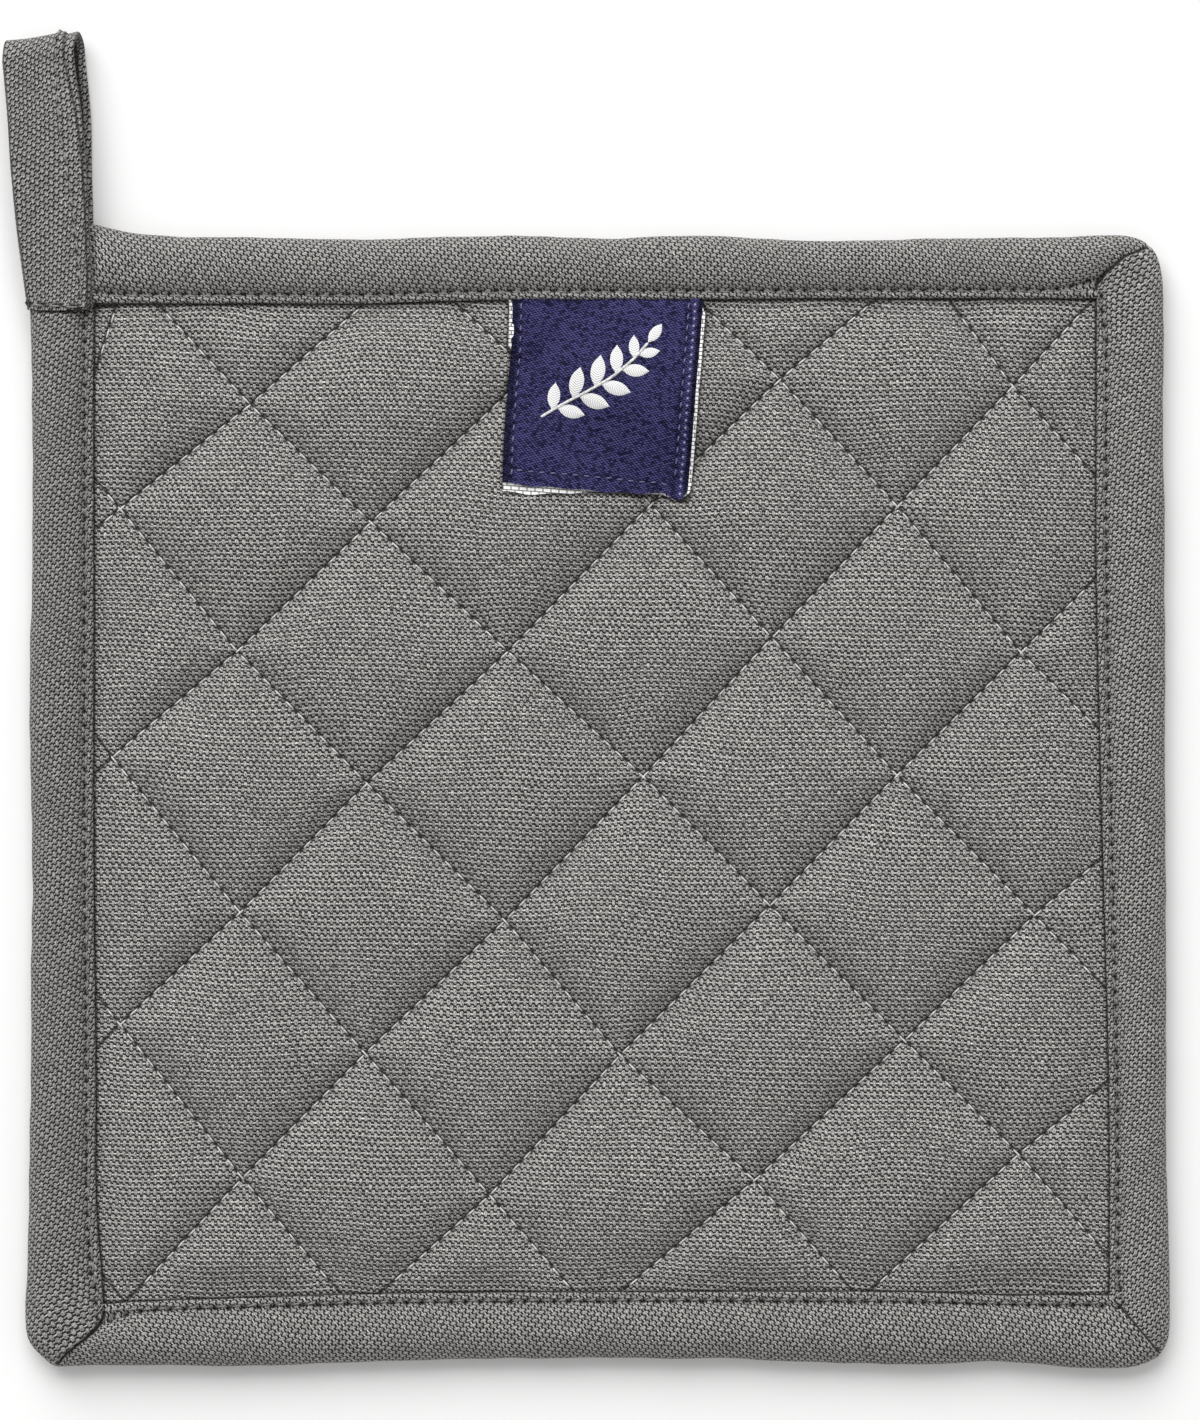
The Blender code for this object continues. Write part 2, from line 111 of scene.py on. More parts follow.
# Tape: station tables, clockwise from the loop.
TOP_SIDE = (
    # along (x), outer edge (y), inner edge (y)
    (-88.0, 101.1, 87.3), (-86.0, 100.6, 87.3), (-80.7, 99.6, 87.3), (-56.0, 98.8, 87.3),
    (-40.0, 98.6, 87.3), (-28.0, 98.9, 87.7), (-13.0, 99.3, 88.0), (2.0, 98.8, 88.0),
    (18.0, 99.1, 88.0), (39.0, 98.4, 88.2), (60.0, 98.8, 88.2), (82.0, 99.1, 88.2),
)
RIGHT_SIDE = (
    # along (y), outer edge (x), inner edge (x)
    (83.0, 99.4, 87.5), (60.0, 99.4, 87.5), (42.0, 99.7, 87.5), (20.0, 99.6, 87.9),
    (-12.0, 99.8, 88.7), (-40.0, 99.7, 89.5), (-60.0, 99.9, 89.8), (-82.0, 100.4, 89.8),
)
BOTTOM_SIDE = (
    # along (x), outer edge (y), inner edge (y)
    (85.0, -100.0, -87.1), (70.0, -98.9, -87.1), (57.0, -99.4, -86.6), (32.0, -98.7, -86.5),
    (20.0, -98.3, -86.5), (-10.0, -98.3, -86.6), (-29.0, -98.6, -86.7), (-47.0, -99.1, -87.1),
    (-60.0, -99.7, -87.5), (-80.0, -99.5, -88.2),
)
LEFT_SIDE = (
    # along (y), outer edge (x), inner edge (x)
    (-84.0, -100.7, -87.4), (-72.0, -100.2, -88.4), (-50.0, -100.1, -88.5),
    (-20.0, -99.9, -88.8), (10.0, -100.1, -88.9), (36.0, -100.0, -88.9),
    (60.0, -99.6, -88.9), (85.1, -100.0, -88.9),
)
# Each mitre: how far before or after the inner corner its rays start, and where they end outside.
FAN_TURN = (-1.2, -0.4, 0.0, 0.4, 1.2)
TOP_RIGHT_FAN = ((92.0, 99.3), (95.6, 98.4), (96.9, 97.4), (98.0, 95.9), (98.9, 92.4))
BOTTOM_RIGHT_FAN = ((100.4, -93.0), (99.6, -96.2), (98.7, -97.6), (97.2, -98.6), (93.6, -99.8))
BOTTOM_LEFT_FAN = ((-92.5, -99.5), (-94.8, -99.7), (-95.7, -99.6), (-97.6, -98.3), (-100.6, -94.8))
TOP_RIGHT_CORNER = (87.5, 88.2)
BOTTOM_RIGHT_CORNER = (89.8, -87.1)
BOTTOM_LEFT_CORNER = (-87.2, -88.6)
LOOP_CORNER = (
    # inner edge (x, y), outer edge (x, y)
    (-88.9, 85.8, -100.0, 85.8), (-88.9, 86.4, -100.1, 91.5), (-88.9, 86.9, -99.4, 96.2),
    (-88.9, 87.3, -98.2, 98.0), (-88.8, 87.3, -96.0, 99.5), (-88.7, 87.3, -92.0, 100.6),
    (-88.6, 87.3, -88.6, 101.2),
)
TAPE_CROWN = 7.0
LOOP_SEAT = 5.4
TAPE_STEP = 0.52
TAPE_STITCH = 2.6
TAPE_SEAM = 1.5
TAPE_THREAD = 0.16
TAPE_WIDTH = 11.4
# Where the topstitching starts and ends on the top, right, bottom and left side.
TAPE_SEWN = ((-86.0, 86.5), (-86.0, 87.0), (-86.0, 88.5), (-87.0, 84.5))
# The tape is cut slanting and stretched: how far one goes across the warp and along it on the
# cloth for each millimetre along the tape, and for each millimetre out from its inner edge.
CLOTH_ALONG = (-0.370, 0.848)
CLOTH_OUTWARD = (0.966, 0.644)


# ---------------------------------------------------------------- helpers


def smooth(x):
    """0 below 0, 1 above 1, and a smooth rise between."""
    x = np.clip(x, 0.0, 1.0)
    return x * x * (3.0 - 2.0 * x)


def bell(distance, width):
    return np.exp(-((distance / width) ** 2))


def cloudy(points, size, seed):
    """Soft noise from -1 to 1 at each place, with features about size across."""
    shift = Vector((17.3 * seed, -9.1 * seed, 4.7 * seed))
    return np.array([noise.noise(Vector(p) / size + shift) for p in points])


def coordinates(mesh):
    places = np.empty(len(mesh.vertices) * 3)
    mesh.vertices.foreach_get("co", places)
    return places.reshape(-1, 3)


def set_coordinates(mesh, places):
    mesh.vertices.foreach_set("co", places.ravel())
    mesh.update()


def normals(mesh):
    values = np.empty(len(mesh.vertices) * 3)
    mesh.vertices.foreach_get("normal", values)
    return values.reshape(-1, 3)


def point_value(mesh, name, values):
    """Keep one number per point under a name that a material can read."""
    layer = mesh.attributes.new(name, "FLOAT", "POINT")
    layer.data.foreach_set("value", np.asarray(values, dtype=np.float32))


def read_point_value(mesh, name):
    values = np.empty(len(mesh.vertices), dtype=np.float32)
    mesh.attributes[name].data.foreach_get("value", values)
    return values


def cloth_map(mesh, by_point):
    """Keep each point's place on the flat cloth, in millimetres, as the mesh's cloth map."""
    corner = np.empty(len(mesh.loops), dtype=np.int32)
    mesh.loops.foreach_get("vertex_index", corner)
    mesh.uv_layers.new(name="cloth").data.foreach_set("uv", by_point[corner].ravel())


def travel(places):
    """How far along a row of places in plan each one is from the first."""
    return np.concatenate(((0.0,), np.cumsum(np.hypot(*np.diff(places, axis=0).T))))


def select_only(piece):
    bpy.ops.object.select_all(action="DESELECT")
    piece.select_set(True)
    bpy.context.view_layer.objects.active = piece


def mesh_piece(name, places, faces):
    mesh = bpy.data.meshes.new(name)
    mesh.from_pydata([tuple(p) for p in places], [], [tuple(f) for f in faces])
    mesh.update()
    piece = bpy.data.objects.new(name, mesh)
    bpy.context.scene.collection.objects.link(piece)
    return piece


def finish_piece(piece, material):
    """Bring a mesh in millimetres to the part's frame, and hand it over."""
    piece.data.transform(PART_FRAME)
    piece.data.shade_smooth()
    piece.data.materials.append(material)
    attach(piece, "root")


# ---------------------------------------------------------------- the quilting lines


def crossing(rising, falling):
    def steps_away(row):
        return abs(row[0] - rising) + abs(row[1] - falling)

    row = min(CROSSINGS, key=steps_away)
    place = np.array(row[2:])
    return place + NEXT_RISING * (rising - row[0]) + NEXT_FALLING * (falling - row[1])


RISING = [np.array([crossing(r, f) for f in LINES]) for r in LINES]
FALLING = [np.array([crossing(r, f) for r in LINES]) for f in LINES]


def measure_lines(points, lines):
    """For each point: distance to the nearest line, and distance along it."""
    count = len(points)
    nearest = np.full(count, ENDLESS)
    along = np.zeros(count)
    for line in lines:
        best = np.full(count, ENDLESS)
        best_along = np.zeros(count)
        travelled = 0.0
        for start, end in zip(line, line[1:]):
            span = end - start
            length = math.hypot(*span)
            share = np.clip((points - start) @ span / length**2, 0.0, 1.0)
            away = np.hypot(*(points - start - share[:, None] * span).T)
            closer = away < best
            best[closer] = away[closer]
            best_along[closer] = travelled + share[closer] * length
            travelled += length
        first = best < nearest
        along = np.where(first, best_along, along)
        nearest = np.where(first, best, nearest)
    return nearest, along


def distance_inside(points):
    """Distance from the tape's inner edge, positive inside."""
    shortest = np.full(len(points), ENDLESS)
    for start, end, inward in PAD_SIDES:
        span = np.array(end) - np.array(start)
        normal = np.array((span[1], -span[0])) / math.hypot(*span)
        if normal @ np.array(inward) < 0.0:
            normal = -normal
        shortest = np.minimum(shortest, (points - np.array(start)) @ normal)
    return shortest


# ---------------------------------------------------------------- the pad


def diamond_net():
    """The quilting's diamonds laid flat as one net, finer beside the seams."""
    even = np.linspace(0.0, 1.0, DIAMOND_CELLS + 1)
    shares = 0.45 * even + 0.55 * (0.5 - 0.5 * np.cos(math.pi * even))
    work = bmesh.new()
    work.verts.layers.float.new("is_face")
    sewn = work.verts.layers.float.new("sewn")
    rows = {}
    for r in LINES[:-1]:
        for f in LINES[:-1]:
            near, far = crossing(r, f), crossing(r + 1, f)
            near_up, far_up = crossing(r, f + 1), crossing(r + 1, f + 1)
            for i, a in enumerate(shares):
                for j, b in enumerate(shares):
                    key = (r * DIAMOND_CELLS + i, f * DIAMOND_CELLS + j)
                    if key in rows:
                        continue
                    place = (1 - a) * ((1 - b) * near + b * near_up) + a * ((1 - b) * far + b * far_up)
                    vert = work.verts.new((*place, 0.0))
                    vert[sewn] = float(i in (0, DIAMOND_CELLS) or j in (0, DIAMOND_CELLS))
                    rows[key] = vert
    for (i, j), vert in rows.items():
        corners = ((i + 1, j), (i + 1, j + 1), (i, j + 1))
        if all(corner in rows for corner in corners):
            work.faces.new((vert, *(rows[corner] for corner in corners)))
    for start, end, inward in PAD_SIDES:
        span = Vector(end) - Vector(start)
        normal = Vector((span.y, -span.x)).normalized()
        if normal.dot(Vector(inward)) > 0.0:
            normal.negate()
        edge = Vector(start) + normal * TUCKED_UNDER_TAPE
        bmesh.ops.bisect_plane(
            work,
            geom=work.verts[:] + work.edges[:] + work.faces[:],
            dist=0.01,
            plane_co=(*edge, 0.0),
            plane_no=(*normal, 0.0),
            clear_outer=True,
        )
    bmesh.ops.remove_doubles(work, verts=work.verts, dist=0.12)
    return work


def start_heights(points):
    """Where the face and the back lie before they swell."""
    inside = distance_inside(points)
    rise = smooth(inside / EDGE_RISE)
    rising, _ = measure_lines(points, RISING)
    falling, _ = measure_lines(points, FALLING)
    away = np.minimum(rising, falling)
    body = smooth(away / 9.0)
    top = FACE_SEWN + rise * (SEAM_SINK + 0.8 * body)
    back = BACK_SEWN - 1.2 * rise * body
    return top, back


def swell(piece):
    """Let the cloth swell between its seams, as stuffed cloth does."""
    select_only(piece)
    cloth = piece.modifiers.new("swell", "CLOTH")
    settings = cloth.settings
    settings.vertex_group_mass = "sewn"
    settings.use_pressure = True
    settings.uniform_pressure_force = SWELL_PRESSURE
    settings.effector_weights.gravity = 0.0
    cloth.point_cache.frame_end = SWELL_FRAMES
    before = coordinates(piece.data)
    for number in range(1, SWELL_FRAMES + 1):
        bpy.context.scene.frame_set(number)
    bpy.ops.object.modifier_apply(modifier=cloth.name)
    bpy.context.scene.frame_set(1)
    moved = coordinates(piece.data) - before
    far = np.linalg.norm(moved, axis=1)
    share = np.minimum(1.0, SWELL_LIMIT / np.maximum(far, 1e-6))
    set_coordinates(piece.data, before + moved * share[:, None])


def puffed_pad():
    """The face and the back as one closed shell, swollen between the seams."""
    work = diamond_net()
    is_face = work.verts.layers.float["is_face"]
    grown = bmesh.ops.extrude_face_region(work, geom=work.faces[:])["geom"]
    for vert in grown:
        if isinstance(vert, bmesh.types.BMVert):
            vert[is_face] = 1.0
    bmesh.ops.recalc_face_normals(work, faces=work.faces)
    mesh = bpy.data.meshes.new("quilted_cloth")
    work.to_mesh(mesh)
    work.free()
    piece = bpy.data.objects.new("quilted_cloth", mesh)
    bpy.context.scene.collection.objects.link(piece)
    places = coordinates(mesh)
    face = read_point_value(mesh, "is_face") > 0.5
    top, back = start_heights(places[:, :2])
    places[:, 2] = np.where(face, top, back)
    set_coordinates(mesh, places)
    held = (read_point_value(mesh, "sewn") > 0.99) | (distance_inside(places[:, :2]) < 0.4)
    group = piece.vertex_groups.new(name="sewn")
    group.add([int(k) for k in np.nonzero(held)[0]], 1.0, "REPLACE")
    swell(piece)
    return piece


def needle_share(along, pitch):
    """1 at a needle hole and 0 half way between two."""
    return 0.5 + 0.5 * np.cos(2.0 * math.pi * along / pitch)


def sew_channels(places, face):
    """Sink the seams into the swollen cloth, with a pull at each needle hole.

    Gives, for the rising and the falling lines, how far each point is from one and along it.
    """
    flat = places[:, :2]
    rise = smooth(distance_inside(flat) / EDGE_RISE)
    drop = np.zeros(len(places))
    measured = []
    for lines, offset in ((RISING, 0.0), (FALLING, FALLING_OFFSET)):
        away, along = measure_lines(flat, lines)
        measured += [away, along + offset]
        pulled = needle_share(along + offset, QUILT_STITCH)
        drop = np.maximum(drop, np.exp(-away / SEAM_SINK_REACH))
        pucker = NEEDLE_PULL * (pulled - 0.5) * np.exp(-away / 1.8)
        places[:, 2] += np.where(face, -pucker, 0.5 * pucker) * rise
    places[:, 2] += np.where(face, -SEAM_SINK, BACK_SINK) * drop * rise
    return measured


def beside_tape(places):
    """How far each point lies inside the tape's inner edge in plan, up to 20 mm."""
    edge, _ = smooth_course(tape_stations(), TAPE_STEP, slice(2, 4), True)
    outward = edge[:, 2:4] - edge[:, 0:2]
    tree = KDTree(len(edge))
    for number, row in enumerate(edge):
        tree.insert((row[0], row[1], 0.0), number)
    tree.balance()
    away = np.full(len(places), FAR)
    for k in np.nonzero(distance_inside(places[:, :2]) < 4.0)[0]:
        _, number, distance = tree.find((places[k, 0], places[k, 1], 0.0))
        under = (places[k, :2] - edge[number, :2]) @ outward[number] > 0.0
        away[k] = -distance if under else distance
    return away


def quilted_cloth(material):
    """The swollen pad, sewn down along its seams, with what its material has to know."""
    piece = puffed_pad()
    mesh = piece.data
    creases = mesh.attributes.new("crease_edge", "FLOAT", "EDGE")
    sewn = read_point_value(mesh, "sewn") > 0.99
    held = [float(sewn[edge.vertices[0]] and sewn[edge.vertices[1]]) for edge in mesh.edges]
    creases.data.foreach_set("value", held)
    select_only(piece)
    finer = piece.modifiers.new("finer", "SUBSURF")
    finer.levels = 1
    finer.render_levels = 1
    bpy.ops.object.modifier_apply(modifier=finer.name)
    mesh = piece.data
    piece.vertex_groups.clear()
    places = coordinates(mesh)
    face = read_point_value(mesh, "is_face") > 0.5
    measured = sew_channels(places, face)
    rough = 0.16 * cloudy(places, 9.0, 1) + 0.07 * cloudy(places, 3.2, 2)
    inside = smooth(distance_inside(places[:, :2]) / 3.0)
    places[:, 2] += np.where(face, rough * inside, 0.0)
    level = places[:, 2]
    places[:, 2] = np.where(face, np.minimum(level, FACE_LIMIT), np.maximum(level, 0.0))
    set_coordinates(mesh, places)
    for name in ("is_face", "sewn", "crease_edge"):
        mesh.attributes.remove(mesh.attributes[name])
    for name, values in zip(("rising_away", "rising_along", "falling_away", "falling_along"), measured):
        point_value(mesh, name, values)
    # The face's material paints a shadow beside the tape and the label; beside the tape it widens at the
    # opening.
    from_opening = (places[:, :2] - OPENING) / OPENING_REACH
    opening = np.exp(-(from_opening[:, 0] ** 2) - from_opening[:, 1] ** 2)
    point_value(mesh, "beside_tape", np.where(face, beside_tape(places) - 0.65 * opening, FAR))
    point_value(mesh, "beside_label", np.where(face, beside_label(places), FAR))
    finish_piece(piece, material)
    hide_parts("quilted_pad")
    return piece


# ---------------------------------------------------------------- the tape


def smooth_course(rows, step, measured, closed):
    """A smooth curve through rows of numbers, cut about every step along the measured columns.

    Also gives, for each cut, the number of the row that it follows.
    """
    rows = np.array(rows, dtype=float)
    if closed:
        padded = np.concatenate((rows[-1:], rows, rows[:2]))
    else:
        padded = np.concatenate((2 * rows[:1] - rows[1:2], rows, 2 * rows[-1:] - rows[-2:-1]))
    cut, numbers = [], []
    for number, (p0, p1, p2, p3) in enumerate(zip(padded, padded[1:], padded[2:], padded[3:])):
        c0, c1, c2 = (
            max(float(np.linalg.norm((b - a)[measured])), 1e-6) ** 0.5
            for a, b in ((p0, p1), (p1, p2), (p2, p3))
        )
        m1 = c1 * ((p1 - p0) / c0 - (p2 - p0) / (c0 + c1) + (p2 - p1) / c1)
        m2 = c1 * ((p2 - p1) / c1 - (p3 - p1) / (c1 + c2) + (p3 - p2) / c2)
        count = max(1, round(c1**2 / step))
        t = (np.arange(count) / count)[:, None]
        cut.append(
            (2 * t**3 - 3 * t**2 + 1) * p1
            + (t**3 - 2 * t**2 + t) * m1
            + (3 * t**2 - 2 * t**3) * p2
            + (t**3 - t**2) * m2
        )
        numbers += [number] * count
    if not closed:
        cut.append(rows[-1:])
        numbers.append(len(rows) - 1)
    return np.concatenate(cut), np.array(numbers)


TOP, RIGHT, BOTTOM, LEFT = range(4)
ALONG = np.array(((1.0, 0.0), (0.0, -1.0), (-1.0, 0.0), (0.0, 1.0)))
OUTWARD = np.array(((0.0, 1.0), (1.0, 0.0), (0.0, -1.0), (-1.0, 0.0)))


def tape_stations():
    """Rows of inner point, outer point, crown height and side, once round the pad, clockwise."""
    rows = []
    for side, table, fan, corner in (
        (TOP, TOP_SIDE, TOP_RIGHT_FAN, TOP_RIGHT_CORNER),
        (RIGHT, RIGHT_SIDE, BOTTOM_RIGHT_FAN, BOTTOM_RIGHT_CORNER),
        (BOTTOM, BOTTOM_SIDE, BOTTOM_LEFT_FAN, BOTTOM_LEFT_CORNER),
        (LEFT, LEFT_SIDE, (), None),
    ):
        for along, outer, inner in table:
            if side in (TOP, BOTTOM):
                rows.append((along, inner, along, outer, TAPE_CROWN, side))
            else:
                rows.append((inner, along, outer, along, TAPE_CROWN, side))
        for k, (turn, outer) in enumerate(zip(FAN_TURN, fan)):
            inner = np.array(corner) + (ALONG[side] if turn < 0.0 else ALONG[side + 1]) * turn
            rows.append((*inner, *outer, TAPE_CROWN, side + (k >= 2)))
    for k, row in enumerate(LOOP_CORNER):
        rows.append((*row, LOOP_SEAT, LEFT if k < 3 else TOP))
    return rows


# One section of the tape, once round: share of the way across, and height.
TAPE_FACE = (
    (0.0, 4.45), (0.0, 4.95), (0.03, 5.35), (0.075, 5.45), (0.11, 5.25), (0.135, 5.1),
    (0.165, 5.3), (0.24, 6.0), (0.36, 6.6), (0.5, 6.95), (0.6, 7.0), (0.72, 6.75),
    (0.83, 6.2), (0.92, 5.3), (0.98, 4.3), (1.0, 3.3), (0.985, 2.2), (0.94, 1.2),
    (0.86, 0.4), (0.74, 0.0),
)
TAPE_BACK = ((0.5, 0.0), (0.3, 0.0), (0.17, 0.05), (0.13, 0.3), (0.09, 0.05), (0.02, 0.1))
TAPE_POCKET = (
    (0.0, 0.6), (0.02, 1.2), (0.4, 1.2), (0.8, 1.9), (0.86, 3.3), (0.78, 4.6), (0.5, 5.4),
    (0.15, 4.3),
)


def tape_section():
    """Points once round the tape, how far along the cloth each is, and how many are its face."""
    full = (TAPE_WIDTH, 1.0)
    face, _ = smooth_course(np.array(TAPE_FACE) * full, 0.42, slice(0, 2), False)
    back, _ = smooth_course(np.array(TAPE_BACK) * full, 0.9, slice(0, 2), False)
    points = np.concatenate((face, back, np.array(TAPE_POCKET) * full))
    return points / full, travel(points), len(face)


# Each mitre: the station that its fold follows, how deep and how high the fold is, and how far
# the fold bows sideways at shares of its length.
MITRES = (
    (
        len(TOP_SIDE) + 2,
        1.0,
        0.45,
        ((0.0, 0.0), (0.12, 1.6), (0.3, 1.9), (0.65, 1.7), (0.9, 0.4), (1.0, 0.0)),
    ),
    (len(TOP_SIDE) + len(RIGHT_SIDE) + 7, 0.35, 0.1, ((0.0, 0.0), (1.0, 0.0))),
    (
        len(TOP_SIDE) + len(RIGHT_SIDE) + len(BOTTOM_SIDE) + 12,
        1.0,
        0.55,
        ((0.0, 0.0), (0.14, 1.5), (0.34, 1.5), (0.55, 0.9), (0.75, 0.3), (1.0, 0.0)),
    ),
)


def fold_mitres(places, across, numbers):
    """Bow each corner's fold in plan; gives how far it moves the tape and how far off it is."""
    n, m = places.shape[:2]
    moved, fold_away = np.zeros((n, m)), np.full((n, m), FAR)
    share = np.clip(across, 0.0, 1.0)
    for station, depth, stands_over, bow in MITRES:
        middle = int(np.argmax(numbers == station))
        rows = np.arange(middle - 34, middle + 35)
        run = places[middle, :, :2] - places[middle, :1, :2]
        direction = run[np.argmax(across)] / np.linalg.norm(run[np.argmax(across)])
        sideways = np.array((-direction[1], direction[0]))
        gap = np.linalg.norm(places[rows, :, :2] - places[middle, None, :, :2], axis=2)
        gap *= np.sign(rows - middle)[:, None]
        shift = np.interp(share, *np.array(bow).T)[None, :] * bell(gap, 6.0)
        places[rows, :, :2] += shift[:, :, None] * sideways
        near = smooth((share - 0.02) / 0.08) * (1.0 - 0.9 * smooth((share - 0.8) / 0.16))
        before, after = gap < -1e-6, gap > 1e-6
        fold = -0.85 * depth * np.exp(-np.abs(gap) / 1.1) * before - 0.6 * depth * (gap == 0.0)
        fold = fold + stands_over * after * np.exp(-gap * after / 3.5) * smooth(gap / 0.5)
        moved[rows] += near[None, :] * fold
        shown = ((share > 0.04) & (share < 0.97))[None, :]
        fold_away[rows] = np.where(shown, (gap + 0.1) / (0.3 + 0.7 * depth), fold_away[rows])
    return moved, fold_away


def on_cloth(along, outward):
    """The place on the flat cloth for a place on the tape, in millimetres."""
    parts = [along * a + outward * b for a, b in zip(CLOTH_ALONG, CLOTH_OUTWARD)]
    return np.stack(parts, axis=-1)


def bias_tape(material):
    """The tape once round the pad: its section carried along its stations, sewn and mitred."""
    rows, numbers = smooth_course(tape_stations(), TAPE_STEP, slice(2, 4), True)
    side = np.array([int(row[5]) for row in tape_stations()])[numbers]
    section, cloth, face_count = tape_section()
    inner, outer, crown = rows[:, 0:2], rows[:, 2:4], rows[:, 4]
    n, m = len(rows), len(section)
    across, height = section[:, 0], section[:, 1]
    places = np.empty((n, m, 3))
    places[:, :, :2] = inner[:, None, :] + across[None, :, None] * (outer - inner)[:, None, :]
    limit = np.where(np.arange(m) < face_count, 0.0, 1.1)
    places[:, :, 2] = np.minimum(height[None, :], crown[:, None] - limit[None, :])
    moved, fold_away = fold_mitres(places, across, numbers)
    flat = places.reshape(-1, 3)
    number = np.arange(n * m).reshape(n, m)
    following, above = np.roll(number, -1, 0), np.roll(number, -1, 1)
    faces = np.stack((number, following, np.roll(following, -1, 1), above), axis=-1)
    piece = mesh_piece("bias_tape", flat, faces.reshape(-1, 4))
    mesh = piece.data

    width = outer - inner
    slant = np.abs(np.einsum("ij,ij->i", width, OUTWARD[side])) / np.hypot(*width.T)
    s = np.einsum("nmk,nk->nm", places[:, :, :2], ALONG[side])
    t = cloth[None, :] * slant[:, None]
    on_face = (np.arange(m) < face_count)[None, :] * np.ones((n, 1))
    seam = float(np.interp(TAPE_SEAM / TAPE_WIDTH, across[:face_count], cloth[:face_count]))
    pulled = needle_share(s, TAPE_STITCH)
    twisted = needle_share(s - 1.1 * (t - seam) + 0.6, TAPE_STITCH)
    relief = -0.30 * bell(t - seam, 0.35)
    relief -= 0.45 * bell(t - seam, 0.35) * pulled**2
    relief += 0.42 * (0.5 - twisted) * bell(t - 0.6 * seam, 0.65)
    relief += 0.22 * (0.5 - pulled) * np.exp(-np.maximum(t - seam, 0.0) / 1.3) * (t > seam)

    def uneven(along, outward, size, seed):
        places_on_side = (along.ravel(), outward.ravel(), side.repeat(m) * 31.0)
        return cloudy(np.stack(places_on_side, axis=1), size, seed)

    soft = uneven(s, 2.2 * t, 22.0, 3)
    drag = uneven(s - 0.8 * t, 0.35 * t, 4.5, 4)
    lump = uneven(s, t, 2.0, 6)
    away = smooth((t - 2.2) / 3.0).ravel() * smooth((19.0 - t) / 3.0).ravel()
    flange = smooth((seam + 0.2 - t) / 0.4).ravel()
    total = relief.ravel() + moved.ravel()
    total = total + away * (0.30 * soft + 0.16 * drag) + 0.12 * flange * lump
    total *= on_face.ravel()
    total[flat[:, 2] < 0.3] = 0.0
    flat = flat + normals(mesh) * total[:, None]
    flat[:, 2] = np.maximum(flat[:, 2], 0.0)
    set_coordinates(mesh, flat)
    # Painted shade: dark along the tape's inner edge, and a little darker all along its left side.
    lip_shade = bell(t, 0.22) * on_face
    left_side_shade = 0.15 * (side == LEFT)[:, None] * np.ones((n, m))
    point_value(mesh, "painted_shade", np.maximum(0.8 * lip_shade, left_side_shade).ravel())
    point_value(mesh, "fold_away", np.where(on_face > 0.5, fold_away, FAR).ravel())
    point_value(mesh, "stitch_away", np.where(on_face > 0.5, t - seam - 0.1, FAR).ravel())
    point_value(mesh, "stitch_along", s.ravel())

    uv = mesh.uv_layers.new(name="cloth")
    corners = np.empty((n, m, 4, 2))
    for k, (di, dk) in enumerate(((0, 0), (1, 0), (1, 1), (0, 1))):
        there = np.roll(places[:, :, :2], (-di, -dk), (0, 1))
        along = np.einsum("nmk,nk->nm", there, ALONG[side])
        corners[:, :, k] = on_cloth(along, np.roll(t, (-di, -dk), (0, 1)))
    uv.data.foreach_set("uv", corners.ravel())
    finish_piece(piece, material)
    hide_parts("binding")
    return piece


# ---------------------------------------------------------------- the loop

LOOP_FRONT = (
    # left edge (x, y), right edge (x, y), height of the strip's middle
    (-100.4, 86.1, -89.2, 86.1, 6.5), (-101.1, 91.4, -89.2, 91.4, 6.5),
    (-101.9, 98.0, -89.4, 98.4, 6.55), (-102.6, 104.0, -89.6, 104.8, 6.8),
    (-103.3, 111.0, -90.1, 112.2, 7.05), (-103.8, 119.0, -90.9, 120.7, 7.15),
    (-104.4, 126.5, -91.9, 128.6, 7.15), (-104.7, 129.6, -92.1, 131.8, 7.1),
)
LOOP_BACK = (
    (-104.1, 126.5, -90.4, 129.6, 0.85), (-103.3, 118.5, -89.6, 120.7, 0.8),
    (-102.8, 110.0, -89.4, 111.4, 0.8), (-102.2, 104.0, -89.2, 104.8, 0.8),
    (-101.7, 101.3, -89.2, 101.6, 0.85), (-101.2, 99.2, -89.2, 99.5, 1.3),
)
LOOP_FOLD_RADIUS = 3.15
LOOP_FOLD_STEPS = 7
LOOP_THICK = 1.6
LOOP_EDGE = 0.4
# Along the loop from its base: how far its stitches and the edge of its upper layer lie from the
# right edge.
LOOP_SEAM = ((0.0, 1.6), (5.3, 1.8), (21.0, 2.9), (31.6, 3.8), (38.7, 3.5), (44.0, 3.2), (90.0, 3.0))
LOOP_LAYER = ((0.0, 0.2), (30.0, 0.3), (33.5, 0.5), (40.5, 1.15), (45.5, 1.7), (50.0, 2.0), (90.0, 2.0))
LOOP_BASE_SEAM = 86.95
LOOP_BASE_SLOPE = 0.06
LOOP_BASE_STITCH = 3.0
LOOP_THREAD = 0.14


def loop_rows():
    """Rows of left edge, right edge and height: up the front, round the fold and down the back."""
    rows = list(LOOP_FRONT)
    left_x, left_y, right_x, right_y, height = LOOP_FRONT[-1]
    for step in range(1, LOOP_FOLD_STEPS):
        angle = math.pi * step / LOOP_FOLD_STEPS
        reach = LOOP_FOLD_RADIUS * math.sin(angle)
        level = height - LOOP_FOLD_RADIUS * (1.0 - math.cos(angle))
        turned = step / LOOP_FOLD_STEPS
        left = left_x + turned * (LOOP_BACK[0][0] - left_x)
        right = right_x + turned * (LOOP_BACK[0][2] - right_x)
        rows.append((left, left_y + reach, right, right_y + reach, level))
    return rows + list(LOOP_BACK)


